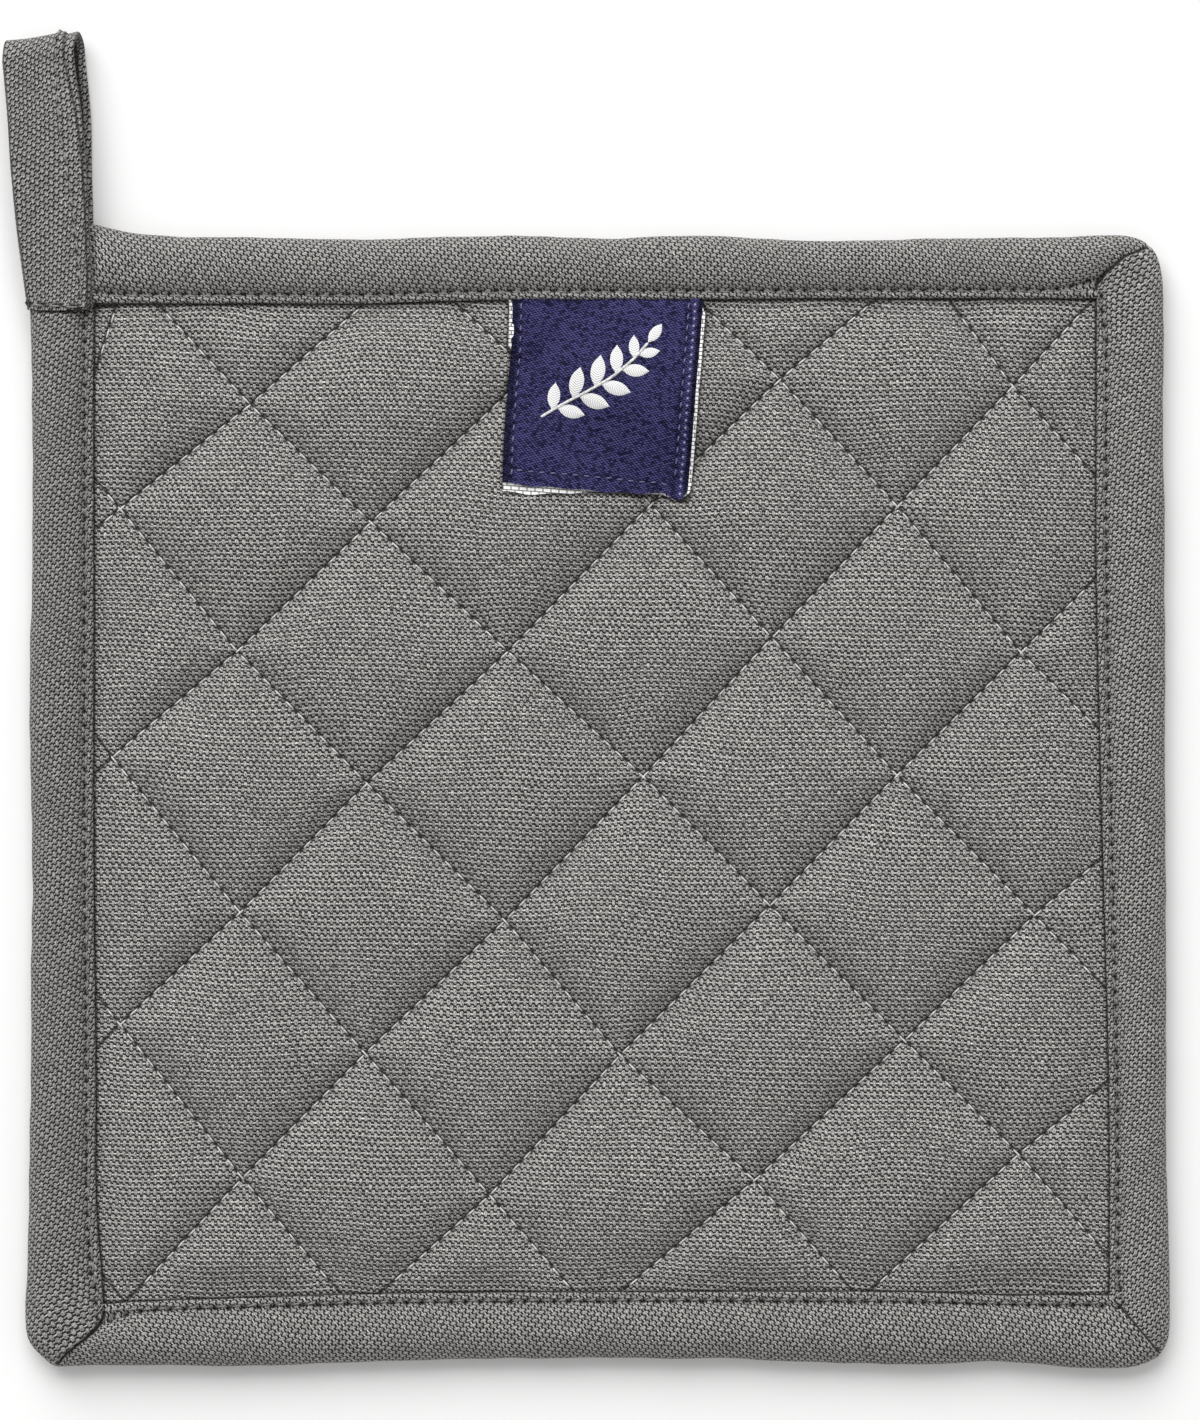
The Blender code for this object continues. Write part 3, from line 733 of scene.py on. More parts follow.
def strip_section(width_cells=44, edge_cells=4):
    """Points once round a soft flat strip: share across from -1 to 1, and share of its thickness."""
    across = np.sin(np.linspace(-1.0, 1.0, width_cells + 1) * math.pi / 2 * 0.93)
    across = across / across[-1]
    turns = np.linspace(0.0, math.pi, edge_cells + 2)[1:-1]
    points = [(a, 1.0, 0.0) for a in across]
    points += [(1.0, math.cos(turn), math.sin(turn)) for turn in turns]
    points += [(a, -1.0, 0.0) for a in across[::-1]]
    points += [(-1.0, -math.cos(turn), -math.sin(turn)) for turn in turns]
    return np.array(points)


def loop_tape(material):
    """The loop: one soft strip carried up its front, round the fold and down its back."""
    rows, _ = smooth_course(loop_rows(), 0.45, slice(0, 5), False)
    left = rows[:, (0, 1, 4)]
    right = rows[:, (2, 3, 4)]
    middle = (left + right) / 2.0
    run = np.gradient(middle, axis=0)
    run /= np.linalg.norm(run, axis=1)[:, None]
    across = right - left
    half = np.linalg.norm(across, axis=1) / 2.0
    across /= 2.0 * half[:, None]
    up = np.cross(across, run)
    up /= np.linalg.norm(up, axis=1)[:, None]
    section = strip_section()
    n, m = len(rows), len(section)
    radius = LOOP_THICK / 2.0
    flat_half = (half - LOOP_EDGE)[:, None, None]
    aside = section[None, :, 0:1] * flat_half + section[None, :, 2:3] * LOOP_EDGE
    raised = up[:, None, :] * section[None, :, 1:2] * radius
    places = middle[:, None, :] + across[:, None, :] * aside + raised
    number = np.arange(n * m).reshape(n, m)
    above = np.roll(number, -1, 1)
    quads = np.stack((number[:-1], number[1:], above[1:], above[:-1]), axis=-1).reshape(-1, 4)
    faces = [*quads, number[0][::-1], number[-1]]
    flat = places.reshape(-1, 3)
    piece = mesh_piece("loop_tape", flat, faces)
    mesh = piece.data
    steps = np.linalg.norm(np.diff(middle, axis=0), axis=1)
    travelled = np.concatenate(((0.0,), np.cumsum(steps)))
    s = np.repeat(travelled[:, None], m, 1)
    w = section[None, :, 0] * half[:, None]
    outer_face = (section[None, :, 1] > 0.5) * np.ones((n, 1))
    from_right = half[:, None] - w
    pulled = needle_share(s, TAPE_STITCH)
    from_seam = from_right - np.interp(s, *np.array(LOOP_SEAM).T)
    from_layer = from_right - np.interp(s, *np.array(LOOP_LAYER).T)
    seam = bell(from_seam, 0.4)
    relief = -0.25 * seam - 0.35 * seam * pulled**2
    relief = relief + 0.25 * (1.0 - (w / half[:, None]) ** 2)
    from_base = s + LOOP_BASE_SLOPE * w - (LOOP_BASE_SEAM - LOOP_FRONT[0][1])
    base_pulled = needle_share(w, LOOP_BASE_STITCH)
    relief = relief - bell(from_base, 0.4) * (0.3 + 0.25 * base_pulled**2)
    relief = relief * outer_face
    layer = section[None, :, 1].repeat(n, 0)
    soft = cloudy(np.stack((s.ravel(), 1.6 * w.ravel(), 9.0 * layer.ravel()), axis=1), 12.0, 5)
    total = relief.ravel() + 0.2 * soft
    flat = flat + normals(mesh) * total[:, None]
    lowered = 0.5 * smooth((0.12 - from_layer) / 0.3) * (section[None, :, 1] + 1.0) / 2.0
    flat -= up.repeat(m, 0) * lowered.reshape(-1, 1)
    droop = smooth((-w / half[:, None] - 0.35) / 0.65) * smooth((13.0 - s) / 13.0)
    flat[:, 2] -= 1.3 * droop.ravel()
    flat[:, 2] = np.maximum(flat[:, 2], 0.0)
    set_coordinates(mesh, flat)
    # Painted shade: dashes at the base's needle holes, a line along the upper layer's edge, the inside of
    # the fold, the right edge, and a faint darkening all over.
    dashes = smooth((base_pulled - 0.15) / 0.3) * bell(from_base, 0.46)
    shade_dark = outer_face * np.maximum(0.9 * bell(from_layer, 0.24), 0.95 * dashes)
    inside_fold = (section[None, :, 1] < -0.5) * smooth((s - 46.0) / 6.0)
    shade_dark = np.maximum(shade_dark, 0.9 * inside_fold * smooth((from_right - 0.7) / 0.4))
    right_edge = ((np.abs(section[:, 1]) < 0.9) & (section[:, 0] > 0.0))[None, :]
    edge = right_edge * smooth((s - 8.0) / 6.0)
    shade_dark = np.maximum(np.maximum(shade_dark, 0.55 * edge * smooth((56.0 - s) / 4.0)), 0.1)
    point_value(mesh, "painted_shade", shade_dark.ravel())
    point_value(mesh, "fold_away", np.full(n * m, FAR))
    point_value(mesh, "stitch_away", np.where(outer_face > 0.5, from_seam, FAR).ravel())
    point_value(mesh, "stitch_along", s.ravel())
    round_steps = np.hypot(np.diff(section[:, 0]) * 6.5, np.diff(section[:, 1]) * radius)
    t = np.cumsum(np.concatenate(((0.0,), round_steps)))
    cloth_map(mesh, on_cloth(s, -np.repeat(t[None, :], n, 0)).reshape(-1, 2))
    finish_piece(piece, material)
    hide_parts("hanging_loop")
    return piece


def loop_thread(loop, material):
    """The stitches across the loop's base and up its front."""
    height = face_finder(loop)
    paths = []
    for x in np.arange(-99.6, -90.5, LOOP_BASE_STITCH):
        y = LOOP_BASE_SEAM - 0.3 - LOOP_BASE_SLOPE * (x + 94.8)
        paths.append(laid_thread((x, y), (x + 2.2, y - 0.15), height, 0.16, sink=0.3))
    front = np.array(LOOP_FRONT)
    seam = np.array(LOOP_SEAM)
    for y in np.arange(LOOP_FRONT[0][1] + 2.0, 130.0, TAPE_STITCH):
        ends = []
        for level in (y + 0.35, y + TAPE_STITCH - 0.35):
            right = np.interp(level, front[:, 1], front[:, 2])
            ends.append((right - np.interp(level - LOOP_FRONT[0][1], seam[:, 0], seam[:, 1]), level))
        paths.append(laid_thread(ends[0], ends[1], height, 0.13, sink=0.35))
    threads("loop_stitches", paths, LOOP_THREAD, material)


# ---------------------------------------------------------------- the label

# The label's edges: y and x of the left and right ones, x and y of the lower one.
LABEL_LEFT = (
    (55.7, -16.9), (62.4, -16.7), (72.9, -16.0), (78.7, -15.4), (86.3, -15.2), (88.9, -15.4),
)
LABEL_RIGHT = (
    (52.2, 15.4), (62.4, 16.3), (70.8, 16.9), (80.0, 17.7), (86.3, 18.2), (88.9, 18.3),
)
LABEL_BOTTOM = (
    (-16.9, 55.7), (-12.8, 55.1), (-5.1, 54.6), (0.5, 54.1), (7.2, 53.8), (11.1, 54.0),
    (13.5, 52.7), (15.6, 52.2),
)
LABEL_START = -16.9
LABEL_WIDTH = 32.5
LABEL_TOP = 88.9
LABEL_CELLS = 110
LABEL_THICK = 0.4
LABEL_TUCK = 4.3
LABEL_STITCH = 1.95
LABEL_THREAD = 0.15
LABEL_BRIDGE = 0.12
LEFT_HEM, RIGHT_HEM = 1.5, 2.5


def face_finder(piece):
    """A function that gives the height of a finished piece's upper face at a place in plan."""
    inverse = PART_FRAME.inverted()
    places = [inverse @ vert.co for vert in piece.data.vertices]
    tree = BVHTree.FromPolygons(places, [tuple(face.vertices) for face in piece.data.polygons])

    def height(x, y, from_below=False):
        start, way = ((x, y, -5.0), (0, 0, 1)) if from_below else ((x, y, 25.0), (0, 0, -1))
        found = tree.ray_cast(Vector(start), Vector(way))[0]
        return found.z if found else None

    return height


def label_edges(y):
    """The label's left and right edges at a height on the pad."""
    return np.interp(y, *np.array(LABEL_LEFT).T), np.interp(y, *np.array(LABEL_RIGHT).T)


def label_low(x):
    """The label's lower edge."""
    return np.interp(x, *np.array(LABEL_BOTTOM).T)


def low_hem(x):
    """How far the lower row of stitches is from the lower edge."""
    return np.interp(x, (-16.9, 2.0, 15.6), (2.5, 2.4, 1.3))


def lining_reach(u, v):
    """How far the white lining shows past the label's left, right and lower edges."""
    left = 0.55 * smooth((0.30 - v) / 0.03)
    right = 0.55 * smooth((v - 0.06) / 0.04) * smooth((1.0 - v) / 0.03)
    low = 1.5 * smooth((0.62 - u) / 0.55) ** 0.8 + 0.4 * bell(u - 0.86, 0.06)
    return left, right, low


def beside_label(places):
    """How far each point lies outside the label and its lining in plan, up to 20 mm."""
    x, y = places[:, 0], places[:, 1]
    left, right = label_edges(y)
    u = np.clip((x - left) / (right - left), 0.0, 1.0)
    v = np.clip((LABEL_TOP - y) / (LABEL_TOP - label_low(x)), 0.0, 1.0)
    more_left, more_right, more_low = lining_reach(u, v)
    away = np.maximum(left - more_left - x, x - right - more_right)
    away = np.maximum(away, label_low(x) - more_low - y)
    return np.minimum(away, FAR)


def label_places():
    """The label's net in plan, with each point's share across it and down it."""
    share = np.linspace(0.0, 1.0, LABEL_CELLS + 1)
    u, v = np.meshgrid(share, share, indexing="ij")
    low = label_low(LABEL_START + u * LABEL_WIDTH)
    y = LABEL_TOP + v * (low - LABEL_TOP)
    left, right = label_edges(y)
    x = left + u * (right - left)
    corner = smooth((u - 0.93) / 0.07) * smooth((v - 0.93) / 0.07)
    y = y + 0.7 * corner + 0.1 * v * np.sin(u * 31.0)
    return u, v, np.stack((x - 0.7 * corner, y), axis=-1)


def cloth_below(places, height):
    """The pad's height under each point of a net."""
    return np.array([[height(x, y) or FACE_SEWN for x, y in row] for row in places])


def label_heights(u, v, places, height):
    """The label bridges the seams below it: it lies on the highest cloth close by."""
    raw = cloth_below(places[::2, ::2], height)
    level = raw.copy()
    for _ in range(9):
        grown = level.copy()
        grown[1:] = np.maximum(grown[1:], level[:-1] - LABEL_BRIDGE)
        grown[:-1] = np.maximum(grown[:-1], level[1:] - LABEL_BRIDGE)
        grown[:, 1:] = np.maximum(grown[:, 1:], level[:, :-1] - LABEL_BRIDGE)
        grown[:, :-1] = np.maximum(grown[:, :-1], level[:, 1:] - LABEL_BRIDGE)
        level = grown
    for _ in range(10):
        padded = np.pad(level, 1, mode="edge")
        level = (padded[:-2, 1:-1] + padded[2:, 1:-1] + padded[1:-1, :-2] + padded[1:-1, 2:]) / 4.0
    level = np.minimum(level, LABEL_TUCK + 1.2 * np.maximum(0.0, 88.0 - places[::2, ::2, 1]))
    level = np.maximum(level, raw + 0.04)
    fine = np.linspace(0.0, 1.0, len(u))
    coarse = np.linspace(0.0, 1.0, len(level))
    rows = np.array([np.interp(fine, coarse, column) for column in level])
    level = np.array([np.interp(fine, coarse, row) for row in rows.T]).T
    level += 0.09 * np.sin(u * 7.0 + v * 3.0) * v
    level += 0.3 * smooth((u - 0.86) / 0.14) * smooth((v - 0.9) / 0.1)
    return level


def label_shell(name, places, low, high):
    """A thin closed sheet between two heights, with its cloth map in millimetres."""
    n = LABEL_CELLS + 1
    upper = np.concatenate((places, high[..., None]), axis=-1).reshape(-1, 3)
    lower = np.concatenate((places, low[..., None]), axis=-1).reshape(-1, 3)
    number = np.arange(n * n).reshape(n, n)
    corners = (number[:-1, :-1], number[1:, :-1], number[1:, 1:], number[:-1, 1:])
    quads = np.stack(corners, axis=-1).reshape(-1, 4)
    faces = [q[::-1] for q in quads] + [q + n * n for q in quads]
    rim = [*number[:, 0], *number[-1, 1:], *number[-2::-1, -1], *number[0, -2:0:-1]]
    for here, there in zip(rim, rim[1:] + rim[:1]):
        faces.append((here + n * n, there + n * n, there, here))
    piece = mesh_piece(name, np.concatenate((upper, lower)), faces)
    cloth_map(piece.data, np.concatenate((upper[:, :2], lower[:, :2])))
    return piece


def woven_label(material, lining, pad):
    """The label with its hems and seams, and the white underside that shows past its edges."""
    u, v, places = label_places()
    height = face_finder(pad)
    level = label_heights(u, v, places, height)
    x, y = places[..., 0], places[..., 1]
    left, right = label_edges(y)
    from_left, from_right, from_low = x - left, right - x, y - label_low(x)
    side_seam = np.maximum(bell(from_left - LEFT_HEM, 0.3), bell(from_right - RIGHT_HEM, 0.35))
    between = (from_left > LEFT_HEM) * (from_right > RIGHT_HEM)
    low_seam = bell(from_low - low_hem(x), 0.3) * between
    dimple = side_seam * (0.16 + 0.20 * needle_share(y, LABEL_STITCH) ** 2)
    dimple = np.maximum(dimple, low_seam * (0.14 + 0.18 * needle_share(x, LABEL_STITCH) ** 2))
    hem = 0.30 * smooth((2.35 - from_right) / 0.5) * smooth(from_right / 0.9)
    hem = np.maximum(hem, 0.22 * smooth((low_hem(x) - 0.1 - from_low) / 0.5))
    curl = -0.30 * smooth((1.2 - from_left) / 1.2) - 0.25 * smooth((0.6 - from_right) / 0.6)
    high = level + LABEL_THICK + hem + curl - dimple
    # Painted shade: darker along the left and right edges, where the label curls down, and in the stitch
    # dimples.
    shade = 0.75 * smooth((1.35 - from_left) / 0.4)
    shade = np.maximum(shade, 0.8 * smooth((0.95 - from_right) / 0.3))
    shade = np.maximum(shade, 2.5 * dimple)
    high = np.maximum(high, level + 0.16)
    piece = label_shell("woven_label_cloth", places, level + 0.06, high)
    for name, values in (
        ("painted_shade", np.clip(shade, 0.0, 1.0)),
        ("speck_away", from_right - 1.35),
        ("speck_along", y),
    ):
        point_value(piece.data, name, np.tile(values.ravel(), 2))
    finish_piece(piece, material)
    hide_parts("woven_label")

    peek = places.copy()
    more_left, more_right, more_low = lining_reach(u, v)
    to_right, to_left = smooth((u - 0.97) / 0.03), smooth((0.04 - u) / 0.04)
    peek[..., 0] += more_right * to_right - more_left * to_left
    peek[..., 1] -= more_low * smooth((v - 0.97) / 0.03)
    lying = np.maximum(level, np.minimum(cloth_below(peek, height), level + 1.2))
    under = label_shell("label_lining", peek, lying - 0.1, lying + 0.12)
    finish_piece(under, lining)
    return piece


def label_thread(label, material):
    """The stitches round three sides of the label."""
    height = face_finder(label)
    ends = []
    for y in np.arange(56.6, 87.0, LABEL_STITCH):
        first, last = y + 0.35, y + 1.5
        for edge, hem in ((0, LEFT_HEM), (1, -RIGHT_HEM)):
            start, end = (label_edges(level)[edge] + hem for level in (first, last))
            ends.append(((start, first), (end + 0.12, last)))
    for x in np.arange(-14.8, 12.2, LABEL_STITCH):
        first, last = x + 0.35, x + 1.5
        start, end = (label_low(across) + low_hem(across) for across in (first, last))
        ends.append(((first, start), (last, end + 0.12)))
    paths = [laid_thread(*pair, height, LABEL_THREAD, sink=0.3, points=5) for pair in ends]
    threads("label_stitches", paths, LABEL_THREAD, material)


# The height taken where no label is found under a place.
LABEL_TYPICAL = 7.0
# The sprig on the label: its stem, and each leaf's place on the stem, side, length and turn.
STEM_THREAD = 0.26
SPRIG_STEM = ((-10.2, 67.2), (-6.2, 69.6), (-2.0, 71.7), (2.4, 74.2), (6.4, 77.6), (8.6, 80.2))
SPRIG_LEAVES = (
    (0.10, 1, 5.0, 52.0), (0.14, -1, 5.2, 46.0), (0.28, 1, 5.8, 50.0), (0.33, -1, 5.8, 46.0),
    (0.47, 1, 5.8, 50.0), (0.52, -1, 5.6, 46.0), (0.66, 1, 5.2, 48.0), (0.71, -1, 5.0, 44.0),
    (0.84, 1, 4.2, 44.0), (0.88, -1, 4.0, 40.0), (1.0, 1, 4.2, 4.0),
)


def leaf_shape():
    """One leaf, 1 long and pointed at both ends, crowned along its middle."""
    bpy.ops.object.select_all(action="DESELECT")
    bpy.ops.mesh.primitive_circle_add(vertices=20, radius=0.5, fill_type="NGON")
    leaf = bpy.context.active_object
    bpy.ops.object.mode_set(mode="EDIT")
    bpy.ops.mesh.select_all(action="SELECT")
    bpy.ops.transform.resize(value=(1.0, 0.44, 1.0))
    for _ in range(2):
        bpy.ops.mesh.inset(thickness=0.05, depth=0.03)
    bpy.ops.mesh.poke()
    bpy.ops.object.mode_set(mode="OBJECT")
    places = coordinates(leaf.data)
    places[:, 1] *= 1.0 - (2.0 * np.abs(places[:, 0])) ** 3
    places[:, 0] += 0.5
    faces = [tuple(face.vertices) for face in leaf.data.polygons]
    bpy.data.objects.remove(leaf, do_unlink=True)
    return places, faces


def label_sprig(label, material, stem_material):
    """A small sprig of leaves in satin stitch, raised a little from the label."""
    height = face_finder(label)
    leaf, leaf_faces = leaf_shape()
    stem = np.array(SPRIG_STEM)
    run = travel(stem)
    places, faces, plan = [], [], []

    def level(x, y):
        return height(x, y) or LABEL_TYPICAL

    def stem_at(share):
        return np.array([np.interp(share * run[-1], run, stem[:, k]) for k in (0, 1)])

    for share, side, length, turn in SPRIG_LEAVES:
        foot = stem_at(share)
        way = stem_at(min(share + 0.04, 1.0)) - stem_at(min(share, 0.96))
        angle = math.atan2(way[1], way[0]) + side * math.radians(turn)
        along, aside = leaf[:, 0] * length, leaf[:, 1] * length
        x = foot[0] + along * math.cos(angle) - aside * math.sin(angle)
        y = foot[1] + along * math.sin(angle) + aside * math.cos(angle)
        z = np.array([level(a, b) for a, b in zip(x, y)]) + 0.05 + leaf[:, 2] * length * 0.5
        faces += [tuple(k + len(places) * len(leaf) for k in face) for face in leaf_faces]
        places.append(np.stack((x, y, z), axis=-1))
        plan.append(np.stack((along, aside * side), axis=-1))
    piece = mesh_piece("label_sprig", np.concatenate(places), faces)
    cloth_map(piece.data, np.concatenate(plan))
    finish_piece(piece, material)
    spots = [stem_at(share) for share in np.linspace(-0.02, 1.02, 27)]
    paths = [
        [(x, y, level(x, y) + 0.12) for x, y in (start, (start + end) / 2.0, end)]
        for start, end in zip(spots, spots[2:])
    ]
    threads("label_sprig_stem", paths, STEM_THREAD, stem_material)


# ---------------------------------------------------------------- the sewing


def stitch_shape():
    """One stitch of thread, 2 long and 1 in radius, rounded off at both ends."""
    bpy.ops.object.select_all(action="DESELECT")
    bpy.ops.mesh.primitive_uv_sphere_add(segments=6, ring_count=8, radius=1.0)
    stitch = bpy.context.active_object
    places = coordinates(stitch.data)
    faces = [tuple(face.vertices) for face in stitch.data.polygons]
    bpy.data.objects.remove(stitch, do_unlink=True)
    out = np.hypot(places[:, 0], places[:, 1])
    places[:, :2] *= (np.maximum(out, 1e-6) ** -0.45)[:, None]
    return places, faces


def threads(name, paths, radius, material):
    """The one stitch copied along many paths as one mesh; a path is a row of places, or None."""
    stitch, stitch_faces = stitch_shape()
    share = (stitch[:, 2] + 1.0) / 2.0
    places, faces = [], []
    for path in filter(None, paths):
        path = np.asarray(path)
        at = share * (len(path) - 1)
        before = np.clip(at.astype(int), 0, len(path) - 2)
        part = (at - before)[:, None]
        middle = path[before] * (1.0 - part) + path[before + 1] * part
        run = path[before + 1] - path[before]
        run /= np.linalg.norm(run, axis=1)[:, None]
        side = np.cross(run, (0.0, 0.0, 1.0))
        side /= np.linalg.norm(side, axis=1)[:, None]
        up = np.cross(side, run)
        faces += [tuple(k + len(places) * len(stitch) for k in face) for face in stitch_faces]
        places.append(middle + radius * (stitch[:, 0:1] * up + stitch[:, 1:2] * side))
    piece = mesh_piece(name, np.concatenate(places), faces)
    finish_piece(piece, material)
    return piece


def laid_thread(start, end, height, radius, sink=0.45, points=7, from_below=False):
    """One stitch that follows the cloth between two needle holes; None where there is no cloth."""
    sign = -1.0 if from_below else 1.0
    path = []
    for share in np.linspace(0.0, 1.0, points):
        x, y = np.array(start) + share * (np.array(end) - np.array(start))
        z = height(x, y, from_below)
        if z is None:
            return None
        lift = radius * 0.75 - sink * (abs(2.0 * share - 1.0) ** 5)
        path.append((x, y, z + sign * lift))
    return path


def points_along(line, pitch, offset):
    """Places every pitch along a polyline, the first one offset from its start."""
    travelled = travel(line)
    at = np.arange(offset, travelled[-1], pitch)
    return np.stack([np.interp(at, travelled, line[:, k]) for k in (0, 1)], axis=-1)


def under_label(place):
    return -14.5 < place[0] < 14.5 and place[1] > 57.0


def quilting_thread(pad, material):
    """The quilting stitches: one row on the face and one on the back of every line."""
    height = face_finder(pad)
    paths, under = [], []
    lean = np.array(((0.0, -1.0), (1.0, 0.0))) * THREAD_LEAN / QUILT_STITCH
    for lines, offset in ((RISING, 0.0), (FALLING, QUILT_STITCH - FALLING_OFFSET)):
        for line in lines:
            holes = points_along(line, QUILT_STITCH, offset)
            inside = distance_inside(holes) > 0.2
            for k in np.nonzero(inside[:-1] & inside[1:])[0]:
                way = holes[k + 1] - holes[k]
                start, end = holes[k] + 0.16 * way, holes[k + 1] - 0.16 * way
                if not (under_label(start) and under_label(end)):
                    aside = way @ lean
                    paths.append(laid_thread(start + aside, end + aside, height, 0.25))
                way = way / QUILT_STITCH
                start, end = holes[k] + 0.25 * way, holes[k + 1] - 0.25 * way
                under.append(laid_thread(start, end, height, QUILT_THREAD, from_below=True))
    threads("quilting_stitches", paths, QUILT_THREAD, material)
    threads("quilting_stitches_back", under, QUILT_THREAD, material)


def tape_thread(tape, material):
    """The topstitching along the tape's inner edge."""
    height = face_finder(tape)
    paths = []
    tables = (TOP_SIDE, RIGHT_SIDE, BOTTOM_SIDE, LEFT_SIDE)
    for side, (table, (low, high)) in enumerate(zip(tables, TAPE_SEWN)):
        rows = np.array(sorted(table))
        first, last = math.ceil(low / TAPE_STITCH), math.floor(high / TAPE_STITCH)
        for hole in np.arange(first, last) * TAPE_STITCH:
            ends = []
            for along, off in ((hole + 0.25, -0.1), (hole + TAPE_STITCH - 0.45, -0.3)):
                inner = np.interp(along, rows[:, 0], rows[:, 2])
                across = inner + math.copysign(TAPE_SEAM + off, inner)
                ends.append((along, across) if side in (TOP, BOTTOM) else (across, along))
            paths.append(laid_thread(*ends, height, TAPE_THREAD, sink=0.4))
    threads("tape_stitches", paths, TAPE_THREAD, material)


# ---------------------------------------------------------------- finishes

# How dark the painted shade at the seams, the holes and the folds is, and the height in metres that the
# weave's relief seems to have.
SEAM_DARK = 0.95
WEAVE_RELIEF = 0.00025


class Workbench:
    """Lays out the nodes of one material or group."""

    def __init__(self, tree):
        self.tree = tree

    def node(self, kind, **values):
        node = self.tree.nodes.new(kind)
        for name, value in values.items():
            setattr(node, name, value)
        return node

    def feed(self, socket, value):
        if isinstance(value, bpy.types.NodeSocket):
            self.tree.links.new(value, socket)
        else:
            socket.default_value = value

    def calc(self, operation, *values, clamp=False):
        node = self.node("ShaderNodeMath", operation=operation, use_clamp=clamp)
        for socket, value in zip(node.inputs, values):
            self.feed(socket, value)
        return node.outputs[0]

    def vector(self, operation, *values):
        node = self.node("ShaderNodeVectorMath", operation=operation)
        for socket, value in zip(node.inputs, values):
            self.feed(socket, value)
        return node.outputs[0]

    def blend(self, share, first, second):
        node = self.node("ShaderNodeMix", data_type="RGBA")
        self.feed(node.inputs[0], share)
        self.feed(node.inputs[6], first)
        self.feed(node.inputs[7], second)
        return node.outputs[2]

    def spread(self, value, low, high, new_low=0.0, new_high=1.0):
        node = self.node("ShaderNodeMapRange", clamp=True)
        for socket, given in zip(node.inputs, (value, low, high, new_low, new_high)):
            self.feed(socket, given)
        return node.outputs[0]

    def scaled(self, vector, amount):
        node = self.node("ShaderNodeVectorMath", operation="SCALE")
        self.feed(node.inputs[0], vector)
        self.feed(node.inputs["Scale"], amount)
        return node.outputs[0]

    def split(self, vector):
        node = self.node("ShaderNodeSeparateXYZ")
        self.feed(node.inputs[0], vector)
        return node.outputs["X"], node.outputs["Y"]

    def attribute(self, name):
        return self.node("ShaderNodeAttribute", attribute_name=name).outputs["Fac"]

    def cloth_place(self):
        """The place on the flat cloth, in millimetres, from the mesh's cloth map."""
        return self.node("ShaderNodeUVMap", uv_map="cloth").outputs[0]

    def dice(self, key):
        """An even chance from 0 to 1 for each key."""
        node = self.node("ShaderNodeTexWhiteNoise", noise_dimensions="3D")
        self.feed(node.inputs["Vector"], key)
        return node.outputs["Value"]

    def mottle(self, place, scale, detail=2.0):
        node = self.node("ShaderNodeTexNoise")
        self.feed(node.inputs["Vector"], place)
        node.inputs["Scale"].default_value = scale
        node.inputs["Detail"].default_value = detail
        return node


def new_group(name, inputs, outputs):
    """An empty group of nodes: its workbench, what comes into it and what it gives."""
    group = bpy.data.node_groups.new(name, "ShaderNodeTree")
    for label, kind, value in inputs:
        socket = group.interface.new_socket(label, in_out="INPUT", socket_type=kind)
        if value is not None:
            socket.default_value = value
    for label, kind in outputs:
        group.interface.new_socket(label, in_out="OUTPUT", socket_type=kind)
    bench = Workbench(group)
    return bench, bench.node("NodeGroupInput").outputs, bench.node("NodeGroupOutput").inputs


